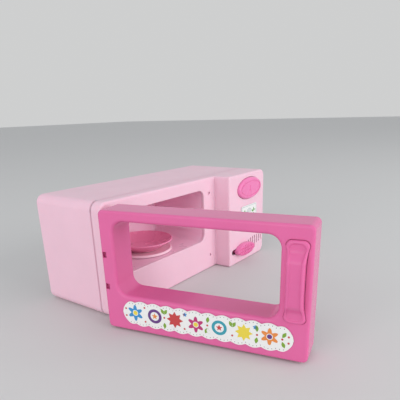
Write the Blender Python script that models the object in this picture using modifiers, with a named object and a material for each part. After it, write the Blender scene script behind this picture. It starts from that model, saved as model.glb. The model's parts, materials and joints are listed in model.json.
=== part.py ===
"""Toy microwave oven with a side-hinged door, a turning plate, a push button and a slide switch.

Metres, +Z up. The origin is on the table, under the middle of the flat base.
X runs along the front from the hinge side to the control side, and +Y points to the back.
"""
import math

import bmesh
import bpy
from mathutils import Matrix, Vector

# Gaps and shared small sizes
GAP = 0.0003
OVERRUN = 0.004
WELD = 0.000002
ARC_STEPS = 4
ROUND_STEPS = 12
FINE_STEPS = 32

# Case: the front panel is stepped, with the control box standing in front of the recessed face
BODY_WIDTH = 0.180
BODY_HEIGHT = 0.0757
BODY_DEPTH = 0.0644
CONTROL_WIDTH = 0.058
CONTROL_STEP = 0.014
CASE_WALL = 0.002
SEAM_DEPTH = 0.007
CORNER_RADIUS = 0.006
FRONT_ROUND = 0.0015
REAR_ROUND = 0.003
ROUND_SEGMENTS = 2

# Cavity: its mouth is measured from the left side, the step, the table and the top
MOUTH_LEFT = 0.0166
MOUTH_FROM_STEP = 0.0156
MOUTH_BOTTOM = 0.0258
MOUTH_FROM_TOP = 0.0088
MOUTH_RADIUS = 0.006
CAVITY_FROM_REAR = 0.0104
CHAMBER_WALL = 0.0015

# Door, closed sizes: the window is measured from the door's edges and from the table
DOOR_SIDE_GAP = 0.0006
DOOR_THICKNESS = 0.0185
DOOR_BOTTOM = 0.001
DOOR_TOP_GAP = 0.0014
DOOR_CLEARANCE = 0.0005
DOOR_CORNER = 0.003
DOOR_ROUND = 0.0015
DOOR_WALL = 0.0018
REVEAL_WALL = 0.0015
DOOR_OPEN_ANGLE = math.radians(77.6)
WINDOW_LEFT = 0.0089
WINDOW_FROM_RIGHT = 0.0159
WINDOW_BOTTOM = 0.0235
WINDOW_FROM_TOP = 0.0061
WINDOW_RADIUS = 0.007
WINDOW_ROUND = 0.0012
BACK_THICKNESS = 0.002
PIP_RADIUS = 0.0009
PIP_HEIGHT = 0.0008
DIMPLE_RADIUS = 0.0013
DIMPLE_DEPTH = 0.0012
PIP_FROM_RIGHT = 0.0078
PIP_LOW = 0.0119
PIP_FROM_TOP = 0.0109

# Hinge: a steel pin through two arms of the case and two eyes of the door
HINGE_FROM_EDGE = 0.0032
HINGE_FROM_FACE = 0.0079
HINGE_RAISE = 0.00035
PIN_RADIUS = 0.001
EYE_OFFSET = 0.0099
EYE_HEIGHT = 0.0038
EYE_RADIUS = 0.0028
ARM_RADIUS = 0.0026
ARM_HEIGHT = 0.004
ARM_PLAY = 0.0004
PIN_OVERHANG = 0.0006
NOTCH_PLAY = 0.001
NOTCH_DEPTH = 0.0118
EYE_WINDOW_WIDTH = 0.0026
EYE_WINDOW_HEIGHT = 0.0036
EYE_WINDOW_EDGE = 0.001

# Door handle: a raised bar with a low pad at each end
HANDLE_FROM_RIGHT = 0.002
HANDLE_FROM_WINDOW = 0.0017
HANDLE_TOP_DROP = 0.0013
HANDLE_PAD = 0.0016
HANDLE_RISE = 0.005
HANDLE_PAD_LENGTH = 0.0048
HANDLE_RAMP_LENGTH = 0.006
HANDLE_WAIST = 0.0006
HANDLE_CORNER = 0.003
HANDLE_ROUND = 0.0007
HANDLE_POCKET = 0.0008

# Picture band along the bottom of the door
BAND_LEFT = 0.012
BAND_FROM_RIGHT = 0.0074
BAND_MIDDLE = 0.0135
BAND_HEIGHT = 0.0165
BAND_THICKNESS = 0.0003
BAND_CORNER = 0.005

# Door fixings
DOOR_SCREW_FROM_HINGE = 0.022
DOOR_SCREW_FROM_RIGHT = 0.0214
DOOR_SCREW_LEVEL = 0.012
DOOR_BOSS_RADIUS = 0.0027

# Push button: an oval cap with a flange behind the panel
BUTTON_OFFSET = 0.002
BUTTON_FROM_TOP = 0.0129
BUTTON_LENGTH = 0.0375
BUTTON_HEIGHT = 0.018
BUTTON_PROUD = 0.0023
BUTTON_BEVEL = 0.0018
BUTTON_TRAVEL = 0.0015
BUTTON_LIP = 0.0015
BUTTON_LIP_THICKNESS = 0.0012
ICON_RADIUS = 0.003
ICON_RISE = 0.0004
ICON_ROOT = 0.0002

# Slide switch: an oval ribbed grip on a neck that runs in a slot
KNOB_FROM_STEP = 0.0215
KNOB_LEVEL = 0.0115
KNOB_LENGTH = 0.0274
KNOB_HEIGHT = 0.0104
KNOB_PROUD = 0.005
KNOB_RIB_COUNT = 6
KNOB_RIB_WIDTH = 0.0013
KNOB_RIB_GAP = 0.0016
KNOB_RIB_DEPTH = 0.0009
KNOB_TRAVEL = 0.005
SLOT_HEIGHT = 0.0047
KNOB_ROUND = 0.0008
NECK_LENGTH = 0.018
NECK_INSET = 0.0014
KNOB_FOOT_LENGTH = 0.016
KNOB_FOOT_HEIGHT = 0.0074
KNOB_FOOT_THICKNESS = 0.0012

# Sound grille: upright slits whose ends follow an oval
GRILLE_FROM_RIGHT = 0.0157
GRILLE_LEVEL = 0.0144
SLIT_COUNT = 7
SLIT_PITCH = 0.0037
SLIT_WIDTH = 0.0014
GRILLE_HALF_LENGTH = 0.0136
GRILLE_HALF_HEIGHT = 0.0043

# Picture label on the control box
LABEL_FROM_BUTTON = 0.0054
LABEL_WIDTH = 0.026
LABEL_HEIGHT = 0.018
LABEL_THICKNESS = 0.0003
LABEL_CORNER = 0.002

# Case fixings: two screws near the left side, two near the step and one in the control box
CASE_SCREW_FROM_LEFT = 0.0085
CASE_SCREW_FROM_STEP = 0.004
CASE_SCREW_LEVEL = 0.008
CASE_SCREW_FROM_TOP = 0.0082
CONTROL_SCREW_FROM_RIGHT = 0.007
CONTROL_SCREW_FROM_TOP = 0.0317
CASE_BOSS_RADIUS = 0.0032
CASE_BOSS_END = 0.009
CASE_POST_FLOOR = 0.0025
CASE_PILOT_DEPTH = 0.006

# Screws
CASE_SCREW_HEAD = 0.0025
CASE_SCREW_HEAD_HEIGHT = 0.0016
CASE_SCREW_SHANK = 0.0011
CASE_SCREW_LENGTH = 0.0080
SMALL_SCREW_HEAD = 0.0018
SMALL_SCREW_HEAD_HEIGHT = 0.0010
SMALL_SCREW_SHANK = 0.0008
SMALL_SCREW_LENGTH = 0.0045

# Turntable in the middle of the cavity, and its drive
TABLE_RADIUS = 0.0224
TABLE_THICKNESS = 0.0012
TABLE_RIM = 0.0014
TABLE_RIM_RISE = 0.0006
HUB_RADIUS = 0.0032
HUB_DROP = 0.0035
HUB_SOCKET_SHARE = 0.85
SPINDLE_RADIUS = 0.002
SOCKET_WALL = 0.0015
SOCKET_HEIGHT = 0.004
GEAR_MODULE = 0.0008
GEAR_PLAY = 0.0002
GEAR_ROOT_SHARE = 1.2
GEAR_TIP_SHARE = 0.85
TOOTH_WIDTH_SHARES = (0.29, 0.12)
SPINDLE_TEETH = 40
IDLER_TEETH = 32
PINION_TEETH = 8
SPINDLE_GEAR_LEVEL = 0.010
IDLER_WHEEL_LEVEL = 0.0172
WHEEL_THICKNESS = 0.003
PINION_OVERLAP = 0.001
IDLER_PIN_RADIUS = 0.001
IDLER_SOCKET_HEIGHT = 0.0055
MOTOR_RADIUS = 0.00775
MOTOR_HEIGHT = 0.0122
MOTOR_ROUND = 0.0009
MOTOR_SHAFT_RADIUS = 0.0009
MOTOR_SHAFT_SINK = 0.0015
BRACKET_THICKNESS = 0.0014
BRACKET_WIDTH = 0.012
BRACKET_REACH = 0.0135
BRACKET_POST_RADIUS = 0.0026
STRAP_HOLE_RADIUS = 0.0048

# Dish: radii and levels above the turntable
DISH_RADIUS = 0.0232
DISH_FOOT_RADIUS = 0.0158
DISH_FOOT_HEIGHT = 0.0007
DISH_HEIGHT = 0.0071
DISH_WALL = 0.0013
DISH_CURVE_STEPS = 5

# Lamp in the chamber's ceiling
LAMP_RADIUS = 0.0025
LAMP_FLANGE = 0.0029
LAMP_FLANGE_THICKNESS = 0.001
LAMP_BODY = 0.0045
LAMP_DROP = 0.0022
LAMP_AHEAD = 0.007

# Electronics behind the control box
BOARD_CLEARANCE = 0.0008
BOARD_HEIGHT = 0.0275
BOARD_FROM_TOP = 0.0052
BOARD_FROM_STEP = 0.010
BOARD_THICKNESS = 0.0016
BOARD_STANDOFF = 0.008
BOARD_BOSS_RADIUS = 0.0022
BOARD_BOSS_INSET = 0.0033
SWITCH_SIZE = 0.008
SWITCH_DEPTH = 0.0034
PLUNGER_RADIUS = 0.0017
CHIP_RADIUS = 0.004
CHIP_RISE = 0.0012
CHIP_SHOULDER_SHARE = 0.85
SPEAKER_RADIUS = 0.0113
SPEAKER_RIM = 0.0018
SPEAKER_RIM_THICKNESS = 0.0008
SPEAKER_DEPTH = 0.0042
SPEAKER_MAGNET_RADIUS = 0.0055
SPEAKER_MAGNET_HEIGHT = 0.0032
SPEAKER_RING_WALL = 0.0010
SPEAKER_RING_HEIGHT = 0.0022
CONE_THICKNESS = 0.0005
SLIDE_PLATE_WIDTH = 0.012
SLIDE_PLATE_HEIGHT = 0.0184
SLIDE_PLATE_THICKNESS = 0.0008
SLIDE_BODY_LENGTH = 0.0145
SLIDE_BODY_HEIGHT = 0.006
SLIDE_BODY_DEPTH = 0.005
SLIDE_STANDOFF = 0.0040
SLIDE_POST_RADIUS = 0.0020
LEVER_WIDTH = 0.002
LEVER_HEIGHT = 0.003
LEVER_REACH = 0.0024

# Batteries: two AA cells lie side by side under the control box, behind a screwed cover
TRAY_FROM_RIGHT = 0.0345
TRAY_SPRING_ROOM = 0.0076
TRAY_WIDTH = 0.0331
TRAY_HEIGHT = 0.0163
TRAY_WALL = 0.0011
CELL_RADIUS = 0.0071
CELL_LENGTH = 0.0495
CELL_NIPPLE_RADIUS = 0.0026
CELL_NIPPLE_HEIGHT = 0.001
CELL_PITCH = 0.0148
CONTACT_THICKNESS = 0.0005
CONTACT_SIZE = 0.009
SPRING_RADIUS = 0.0028
SPRING_WIRE = 0.00025
SPRING_TURNS = 2
SPRING_TURN_STEPS = 12
COVER_SETBACK = 0.006
COVER_LENGTH = 0.046
COVER_WIDTH = 0.0295
COVER_THICKNESS = 0.0016
COVER_CORNER = 0.002
EAR_REACH = 0.008
EAR_WIDTH = 0.009
EAR_BLOCK_HEIGHT = 0.007

# Places worked out from the sizes above
LEFT = -BODY_WIDTH / 2
RIGHT = BODY_WIDTH / 2
FACE_Y = -BODY_DEPTH / 2
REAR_Y = BODY_DEPTH / 2
SEAM_Y = FACE_Y + SEAM_DEPTH
STEP_X = RIGHT - CONTROL_WIDTH
STEP_FROM_LEFT = BODY_WIDTH - CONTROL_WIDTH
MOUTH_RIGHT = STEP_FROM_LEFT - MOUTH_FROM_STEP
MOUTH_TOP = BODY_HEIGHT - MOUTH_FROM_TOP
CAVITY_BACK = BODY_DEPTH - CAVITY_FROM_REAR
CONTROL_Y = FACE_Y - CONTROL_STEP
INNER_FACE_Y = FACE_Y + CASE_WALL
INNER_CONTROL_Y = CONTROL_Y + CASE_WALL
DOOR_BACK_Y = FACE_Y - DOOR_CLEARANCE
DOOR_FRONT_Y = DOOR_BACK_Y - DOOR_THICKNESS
DOOR_WIDTH = STEP_FROM_LEFT - DOOR_SIDE_GAP
DOOR_TOP = BODY_HEIGHT - DOOR_TOP_GAP
WINDOW_RIGHT = DOOR_WIDTH - WINDOW_FROM_RIGHT
WINDOW_TOP = DOOR_TOP - WINDOW_FROM_TOP
PIP_FROM_HINGE = DOOR_WIDTH - PIP_FROM_RIGHT
PIP_LEVELS = (PIP_LOW, DOOR_TOP - PIP_FROM_TOP)
HINGE_X = LEFT + HINGE_FROM_EDGE
HINGE_Y = FACE_Y - HINGE_FROM_FACE
HINGE_MIDDLE = (DOOR_BOTTOM + DOOR_TOP) / 2 + HINGE_RAISE
HANDLE_WIDTH = WINDOW_FROM_RIGHT - HANDLE_FROM_RIGHT - HANDLE_FROM_WINDOW
HANDLE_LEFT = WINDOW_RIGHT + HANDLE_FROM_WINDOW
HANDLE_BOTTOM = WINDOW_BOTTOM
HANDLE_HEIGHT = WINDOW_TOP - HANDLE_TOP_DROP - HANDLE_BOTTOM
BAND_LENGTH = DOOR_WIDTH - BAND_LEFT - BAND_FROM_RIGHT
PLATE_X = LEFT + (MOUTH_LEFT + MOUTH_RIGHT) / 2
PLATE_Y = FACE_Y + CAVITY_BACK / 2
BUTTON_X = STEP_X + CONTROL_WIDTH / 2 + BUTTON_OFFSET
BUTTON_LEVEL = BODY_HEIGHT - BUTTON_FROM_TOP
LABEL_TOP = BUTTON_LEVEL - BUTTON_HEIGHT / 2 - LABEL_FROM_BUTTON
KNOB_X = STEP_X + KNOB_FROM_STEP
NECK_X = KNOB_X - KNOB_LENGTH / 2 + NECK_INSET + NECK_LENGTH / 2
GRILLE_X = RIGHT - GRILLE_FROM_RIGHT
CHAMBER_UNDERSIDE = MOUTH_BOTTOM - CHAMBER_WALL
TABLE_BOTTOM = MOUTH_BOTTOM + GAP
TABLE_TOP = TABLE_BOTTOM + TABLE_THICKNESS
TRAY_X = RIGHT - TRAY_FROM_RIGHT
TRAY_LENGTH = CELL_LENGTH + TRAY_SPRING_ROOM
TRAY_Y = REAR_Y - CASE_WALL - GAP - TRAY_LENGTH
COVER_Y = TRAY_Y + COVER_SETBACK
EAR_Y = COVER_Y + COVER_LENGTH / 2
CELL_LEVEL = CASE_WALL + GAP + GAP + CELL_RADIUS
BOARD_LEFT = STEP_X + BOARD_FROM_STEP
BOARD_RIGHT = RIGHT - CONTROL_SCREW_FROM_RIGHT - CASE_BOSS_RADIUS - BOARD_CLEARANCE
BOARD_BOTTOM = BODY_HEIGHT - BOARD_FROM_TOP - BOARD_HEIGHT
CASE_SCREW = (CASE_SCREW_HEAD, CASE_SCREW_HEAD_HEIGHT, CASE_SCREW_SHANK, CASE_SCREW_LENGTH)
SMALL_SCREW = (SMALL_SCREW_HEAD, SMALL_SCREW_HEAD_HEIGHT, SMALL_SCREW_SHANK, SMALL_SCREW_LENGTH)

# Screw places, measured from the left side and from the table
CASE_SCREW_PLACES = (
    (CASE_SCREW_FROM_LEFT, CASE_SCREW_LEVEL),
    (CASE_SCREW_FROM_LEFT, BODY_HEIGHT - CASE_SCREW_FROM_TOP),
    (STEP_FROM_LEFT - CASE_SCREW_FROM_STEP, CASE_SCREW_LEVEL),
    (STEP_FROM_LEFT - CASE_SCREW_FROM_STEP, BODY_HEIGHT - CASE_SCREW_FROM_TOP),
    (BODY_WIDTH - CONTROL_SCREW_FROM_RIGHT, BODY_HEIGHT - CONTROL_SCREW_FROM_TOP),
)
DOOR_SCREW_PLACES = (
    (DOOR_SCREW_FROM_HINGE, DOOR_SCREW_LEVEL),
    (DOOR_WIDTH - DOOR_SCREW_FROM_RIGHT, DOOR_SCREW_LEVEL),
    (HANDLE_LEFT + HANDLE_WIDTH / 2, HANDLE_BOTTOM + HANDLE_HEIGHT / 2),
)

# Finishes: colour, roughness, metallic
PINK_SHELL = ((0.81, 0.50, 0.60), 0.42, 0)
HOT_PINK = ((0.73, 0.15, 0.35), 0.36, 0)
PALE_PINK = ((0.85, 0.58, 0.66), 0.4, 0)
WHITE_PLASTIC = ((0.85, 0.84, 0.82), 0.4, 0)
BLACK_PLASTIC = ((0.03, 0.03, 0.032), 0.45, 0)
STEEL = ((0.62, 0.62, 0.63), 0.3, 1)
BRASS = ((0.75, 0.60, 0.30), 0.32, 1)
PAPER = ((0.82, 0.80, 0.76), 0.7, 0)
BOARD_GREEN = ((0.05, 0.22, 0.10), 0.5, 0)
CELL_WRAP = ((0.12, 0.16, 0.30), 0.35, 0)
CLEAR_LENS = ((0.90, 0.86, 0.70), 0.12, 0)

for old_object in list(bpy.data.objects):
    bpy.data.objects.remove(old_object, do_unlink=True)
parts = bpy.data.collections.new("toy_microwave")
cutters = bpy.data.collections.new("toy_microwave_cutters")
for collection in (parts, cutters):
    bpy.context.scene.collection.children.link(collection)

# Turns an outline drawn in u, v and extruded along w so that it faces the named axis
FACING = {
    "X": Matrix(((0, 0, 1, 0), (1, 0, 0, 0), (0, 1, 0, 0), (0, 0, 0, 1))),
    "Y": Matrix(((1, 0, 0, 0), (0, 0, -1, 0), (0, 1, 0, 0), (0, 0, 0, 1))),
    "Z": Matrix.Identity(4),
}


def rounded_outline(low, high, radius, steps=ARC_STEPS):
    """A rectangle between two corners, with its corners drawn as arcs."""
    centres = (
        (high[0] - radius, high[1] - radius),
        (low[0] + radius, high[1] - radius),
        (low[0] + radius, low[1] + radius),
        (high[0] - radius, low[1] + radius),
    )
    outline = []
    for corner, (centre_u, centre_v) in enumerate(centres):
        for step in range(steps + 1):
            angle = math.radians(90) * (corner + step / steps)
            outline.append((centre_u + radius * math.cos(angle), centre_v + radius * math.sin(angle)))
    return outline


def circle_outline(centre, radius, steps=ROUND_STEPS):
    """A circle of straight steps."""
    turns = [2 * math.pi * step / steps for step in range(steps)]
    return [(centre[0] + radius * math.cos(turn), centre[1] + radius * math.sin(turn)) for turn in turns]


def oval_outline(centre, length, height, steps=ARC_STEPS + 2):
    """A bar with fully round ends."""
    half = (length / 2, height / 2)
    low = (centre[0] - half[0], centre[1] - half[1])
    high = (centre[0] + half[0], centre[1] + half[1])
    return rounded_outline(low, high, half[1] - WELD * 2, steps)


def ellipse_outline(centre, length, height, steps=8 * ARC_STEPS):
    """An ellipse as long and as high as given."""
    turns = [math.radians(360) * step / steps for step in range(steps)]
    return [(centre[0] + length / 2 * math.cos(turn), centre[1] + height / 2 * math.sin(turn)) for turn in turns]


def add_object(name, mesh, collection=None):
    """Puts a mesh in the model under its own name."""
    mesh.name = name
    piece = bpy.data.objects.new(name, mesh)
    (collection or parts).objects.link(piece)
    return piece


def settled(name, source, collection=None):
    """Takes what an object's modifiers or curve make, as a plain closed mesh, and removes the object."""
    graph = bpy.context.evaluated_depsgraph_get()
    mesh = bpy.data.meshes.new_from_object(source.evaluated_get(graph))
    mesh.transform(source.matrix_world)
    bpy.data.objects.remove(source, do_unlink=True)
    work = bmesh.new()
    work.from_mesh(mesh)
    bmesh.ops.remove_doubles(work, verts=work.verts, dist=WELD)
    bmesh.ops.recalc_face_normals(work, faces=work.faces)
    work.to_mesh(mesh)
    work.free()
    return add_object(name, mesh, collection)


def slab(name, outline, low, high, facing="Z"):
    """A flat outline with a thickness, from low to high along the axis that it faces."""
    curve = bpy.data.curves.new(name, 'CURVE')
    curve.dimensions = '2D'
    curve.fill_mode = 'BOTH'
    curve.extrude = abs(high - low) / 2
    curve.resolution_u = 1
    spline = curve.splines.new('POLY')
    spline.points.add(len(outline) - 1)
    for point, (u, v) in zip(spline.points, outline):
        point.co = (u, v, 0, 1)
    spline.use_cyclic_u = True
    holder = bpy.data.objects.new(name, curve)
    parts.objects.link(holder)
    middle = (low + high) / 2
    shift = -middle if facing == "Y" else middle
    piece = settled(name, holder)
    piece.data.transform(FACING[facing] @ Matrix.Translation((0, 0, shift)))
    return piece


def box(name, low, high):
    """A plain box between two corners."""
    mesh = bpy.data.meshes.new(name)
    work = bmesh.new()
    size = [top - bottom for bottom, top in zip(low, high)]
    middle = [(top + bottom) / 2 for bottom, top in zip(low, high)]
    matrix = Matrix.Translation(middle) @ Matrix.Diagonal((*size, 1))
    bmesh.ops.create_cube(work, size=1, matrix=matrix)
    work.to_mesh(mesh)
    work.free()
    return add_object(name, mesh)


def rod(name, centre, radius, low, high, facing="Z", steps=ROUND_STEPS):
    """A round bar along one axis; centre is its place across that axis."""
    return slab(name, circle_outline(centre, radius, steps), low, high, facing)


def turned(name, profile, steps=ROUND_STEPS):
    """A closed profile of (radius, height) points turned about Z."""
    mesh = bpy.data.meshes.new(name)
    work = bmesh.new()
    points = [work.verts.new((radius, 0, height)) for radius, height in profile]
    pairs = list(zip(points, points[1:]))
    if profile[0][0] > 0 and profile[-1][0] > 0:
        pairs.append((points[-1], points[0]))
    for first, second in pairs:
        work.edges.new((first, second))
    work.to_mesh(mesh)
    work.free()
    piece = add_object(name, mesh)
    screw = piece.modifiers.new("turn", 'SCREW')
    screw.axis = 'Z'
    screw.steps = steps
    screw.render_steps = steps
    screw.use_merge_vertices = True
    screw.merge_threshold = WELD
    return settled(name, piece)


def use_as_tool(piece):
    """Keeps a cutter or an added shape out of the model."""
    parts.objects.unlink(piece)
    cutters.objects.link(piece)
    piece.hide_render = True
    piece.display_type = 'WIRE'


def combine(body, tool, operation):
    """Cuts a tool out of a body, joins it on, or keeps what both share."""
    modifier = body.modifiers.new(tool.name, 'BOOLEAN')
    modifier.operation = operation
    modifier.object = tool
    use_as_tool(tool)


def cut(body, *tools):
    for tool in tools:
        combine(body, tool, 'DIFFERENCE')


def join(body, *tools):
    for tool in tools:
        combine(body, tool, 'UNION')


def round_edges(piece, width, chosen, segments=ROUND_SEGMENTS):
    """Rounds the piece's outward edges, each by the share of the width that chosen gives its middle."""
    piece = settled(piece.name, piece)
    weights = piece.data.attributes.new("bevel_weight_edge", 'FLOAT', 'EDGE')
    work = bmesh.new()
    work.from_mesh(piece.data)
    bmesh.ops.dissolve_limit(work, angle_limit=math.radians(0.5), verts=work.verts, edges=work.edges)
    layer = work.edges.layers.float.get("bevel_weight_edge")
    for edge in work.edges:
        if len(edge.link_faces) != 2 or edge.calc_face_angle_signed(0) < math.radians(35):
            continue
        middle = (edge.verts[0].co + edge.verts[1].co) / 2
        edge[layer] = float(chosen(middle))
    work.to_mesh(piece.data)
    work.free()
    bevel = piece.modifiers.new("rounding", 'BEVEL')
    bevel.limit_method = 'WEIGHT'
    bevel.width = width
    bevel.segments = segments
    return piece


def finish(piece, look, smooth=True):
    """Gives a piece its own material and its shading."""
    colour, roughness, metallic = look
    material = bpy.data.materials.new(piece.name)
    material.use_nodes = True
    shader = material.node_tree.nodes["Principled BSDF"]
    shader.inputs["Base Color"].default_value = (*colour, 1)
    shader.inputs["Roughness"].default_value = roughness
    shader.inputs["Metallic"].default_value = metallic
    piece.data.materials.clear()
    piece.data.materials.append(material)
    if smooth:
        piece.data.shade_smooth()
        piece.data.set_sharp_from_angle(angle=math.radians(30))
    return piece


def joint_empty(name, place):
    """An empty on a joint's axis, which carries the pieces that move with it."""
    empty = bpy.data.objects.new(name, None)
    empty.location = place
    parts.objects.link(empty)
    return empty


def carry(empty, *pieces):
    """Parents pieces, made where they stand at the joint's zero place, to the joint's empty."""
    for piece in pieces:
        piece.parent = empty
        piece.matrix_parent_inverse = Matrix.Translation(-Vector(empty.location))


def inset_box_outline(inset, radius):
    """The case's front outline, drawn in by a wall."""
    low = (LEFT + inset, inset)
    high = (RIGHT - inset, BODY_HEIGHT - inset)
    return rounded_outline(low, high, radius)


def stepped_block(name, inset, rear, low, high):
    """The front panel's stepped plan as a solid, drawn in by a wall at its sides and front."""
    plan = (
        (LEFT + inset, rear),
        (LEFT + inset, FACE_Y + inset),
        (STEP_X + inset, FACE_Y + inset),
        (STEP_X + inset, CONTROL_Y + inset),
        (RIGHT - inset, CONTROL_Y + inset),
        (RIGHT - inset, rear),
    )
    return slab(name, plan, low, high)


def case_boss_front(place):
    """Where the boss for a case screw starts: behind the recessed face or behind the control box."""
    return INNER_CONTROL_Y if LEFT + place[0] > STEP_X else INNER_FACE_Y


def hinge_arm(level):
    """An arm of the front panel with a round end about the hinge pin, and the hole for the pin."""
    low = level - ARM_HEIGHT / 2
    high = level + ARM_HEIGHT / 2
    neck = box("arm_neck", (HINGE_X - ARM_RADIUS, HINGE_Y, low), (HINGE_X + ARM_RADIUS, INNER_FACE_Y, high))
    end = rod("arm_end", (HINGE_X, HINGE_Y), ARM_RADIUS, low, high)
    hole = rod("arm_hole", (HINGE_X, HINGE_Y), PIN_RADIUS + GAP, low - OVERRUN, high + OVERRUN)
    return (neck, end), hole


def arm_levels():
    offset = EYE_OFFSET + EYE_HEIGHT / 2 + ARM_PLAY + ARM_HEIGHT / 2
    return (HINGE_MIDDLE - offset, HINGE_MIDDLE + offset)


def button_outline(grow):
    return ellipse_outline((BUTTON_X, BUTTON_LEVEL), BUTTON_LENGTH + grow + grow, BUTTON_HEIGHT + grow + grow)


def slot_reach():
    """Left and right ends of the slot for the slide switch's neck."""
    half = NECK_LENGTH / 2 + GAP + GAP
    return NECK_X - half - KNOB_TRAVEL, NECK_X + half


def slit_cutters():
    """The grille's slits, longest in the middle."""
    slits = []
    for number in range(SLIT_COUNT):
        offset = (number - (SLIT_COUNT - 1) / 2) * SLIT_PITCH
        half = GRILLE_HALF_HEIGHT * math.sqrt(1 - (offset / GRILLE_HALF_LENGTH) ** 2)
        low = (GRILLE_X + offset - SLIT_WIDTH / 2, GRILLE_LEVEL - half)
        high = (GRILLE_X + offset + SLIT_WIDTH / 2, GRILLE_LEVEL + half)
        outline = rounded_outline(low, high, SLIT_WIDTH / 2 - WELD * 2, 3)
        slits.append(slab("slit", outline, CONTROL_Y - OVERRUN, INNER_CONTROL_Y + OVERRUN, "Y"))
    return slits


def board_places():
    """The two screw places of the circuit board, along its lower edge."""
    level = BOARD_BOTTOM + BOARD_BOSS_INSET
    return ((BOARD_LEFT + BOARD_BOSS_INSET, level), (BOARD_RIGHT - BOARD_BOSS_INSET, level))


def slide_places():
    """The two screw places of the slide switch, above and below its body."""
    reach = SLIDE_PLATE_HEIGHT / 2 - SLIDE_POST_RADIUS
    x = NECK_X - KNOB_TRAVEL / 2
    return ((x, KNOB_LEVEL - reach), (x, KNOB_LEVEL + reach))


def make_front_panel():
    """Moulded front: recessed face on the left, control box on the right, and all that it carries."""
    panel = stepped_block("front_panel", 0, SEAM_Y, 0, BODY_HEIGHT)
    corners = slab("front_corners", inset_box_outline(0, CORNER_RADIUS),
                   CONTROL_Y - OVERRUN, SEAM_Y + OVERRUN, "Y")
    combine(panel, corners, 'INTERSECT')
    panel = round_edges(panel, FRONT_ROUND, lambda at: at.y < SEAM_Y - WELD)
    hollow = stepped_block("front_hollow", CASE_WALL, SEAM_Y + OVERRUN, CASE_WALL, BODY_HEIGHT - CASE_WALL)
    inner = slab("front_hollow_corners", inset_box_outline(CASE_WALL, CORNER_RADIUS - CASE_WALL),
                 CONTROL_Y, SEAM_Y + OVERRUN + OVERRUN, "Y")
    combine(hollow, inner, 'INTERSECT')
    cut(panel, hollow)
    holes = []
    for place in CASE_SCREW_PLACES:
        centre = (LEFT + place[0], place[1])
        end = FACE_Y + CASE_BOSS_END
        join(panel, rod("case_boss", centre, CASE_BOSS_RADIUS, case_boss_front(place) - GAP, end, "Y"))
        holes.append(rod("case_pilot", centre, CASE_SCREW[2] + GAP, end - CASE_PILOT_DEPTH, end + OVERRUN, "Y"))
    for places, radius, standoff in ((board_places(), BOARD_BOSS_RADIUS, BOARD_STANDOFF),
                                     (slide_places(), SLIDE_POST_RADIUS, SLIDE_STANDOFF)):
        for centre in places:
            end = INNER_CONTROL_Y + standoff
            join(panel, rod("panel_post", centre, radius, INNER_CONTROL_Y - GAP, end, "Y", 12))
            pilot_start = INNER_CONTROL_Y + GAP
            holes.append(rod("post_pilot", centre, SMALL_SCREW[2] + GAP, pilot_start, end + OVERRUN, "Y", 12))
    speaker_ring = rod("speaker_ring", (GRILLE_X, GRILLE_LEVEL), SPEAKER_RADIUS + GAP + SPEAKER_RING_WALL,
                       INNER_CONTROL_Y - GAP, INNER_CONTROL_Y + SPEAKER_RING_HEIGHT, "Y", FINE_STEPS)
    join(panel, speaker_ring)
    holes.append(rod("speaker_seat", (GRILLE_X, GRILLE_LEVEL), SPEAKER_RADIUS + GAP, INNER_CONTROL_Y,
                     INNER_CONTROL_Y + SPEAKER_RING_HEIGHT + OVERRUN, "Y", FINE_STEPS))
    mouth = rounded_outline((LEFT + MOUTH_LEFT, MOUTH_BOTTOM), (LEFT + MOUTH_RIGHT, MOUTH_TOP), MOUTH_RADIUS)
    holes.append(slab("mouth", mouth, FACE_Y - OVERRUN, INNER_FACE_Y + OVERRUN, "Y"))
    holes.append(slab("button_hole", button_outline(GAP), CONTROL_Y - OVERRUN, INNER_CONTROL_Y + OVERRUN, "Y"))
    slot_left, slot_right = slot_reach()
    slot = oval_outline(((slot_left + slot_right) / 2, KNOB_LEVEL), slot_right - slot_left, SLOT_HEIGHT, 4)
    holes.append(slab("knob_slot", slot, CONTROL_Y - OVERRUN, INNER_CONTROL_Y + OVERRUN, "Y"))
    holes.extend(slit_cutters())
    for level in PIP_LEVELS:
        centre = (LEFT + PIP_FROM_HINGE, level)
        holes.append(rod("dimple", centre, DIMPLE_RADIUS, FACE_Y - OVERRUN, FACE_Y + DIMPLE_DEPTH, "Y", 12))
    for level in arm_levels():
        solids, hole = hinge_arm(level)
        join(panel, *solids)
        holes.append(hole)
    cut(panel, *holes)
    return finish(settled("front_panel", panel), PINK_SHELL)


def spindle_centre():
    return (PLATE_X, PLATE_Y)


def idler_centre():
    distance = GEAR_MODULE * (SPINDLE_TEETH + PINION_TEETH) / 2 + GEAR_PLAY
    return (PLATE_X + distance, PLATE_Y)


def motor_centre():
    distance = GEAR_MODULE * (IDLER_TEETH + PINION_TEETH) / 2 + GEAR_PLAY
    return (idler_centre()[0] + distance, PLATE_Y)


def cover_parts(grow, low, high):
    """The battery cover's plate and its screw ear, grown for the opening that takes it."""
    front = COVER_Y - grow
    rear = COVER_Y + COVER_LENGTH + grow
    half = COVER_WIDTH / 2 + grow
    plate = slab("cover_plate", rounded_outline((TRAY_X - half, front), (TRAY_X + half, rear), COVER_CORNER),
                 low, high)
    half_ear = EAR_WIDTH / 2 + grow
    ear = box("cover_ear", (TRAY_X - half - EAR_REACH, EAR_Y - half_ear, low), (TRAY_X, EAR_Y + half_ear, high))
    return plate, ear


def ear_screw_place():
    return (TRAY_X - COVER_WIDTH / 2 - EAR_REACH / 2, EAR_Y)


def bracket_places():
    x, y = motor_centre()
    return ((x, y - BRACKET_REACH), (x, y + BRACKET_REACH))


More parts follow.
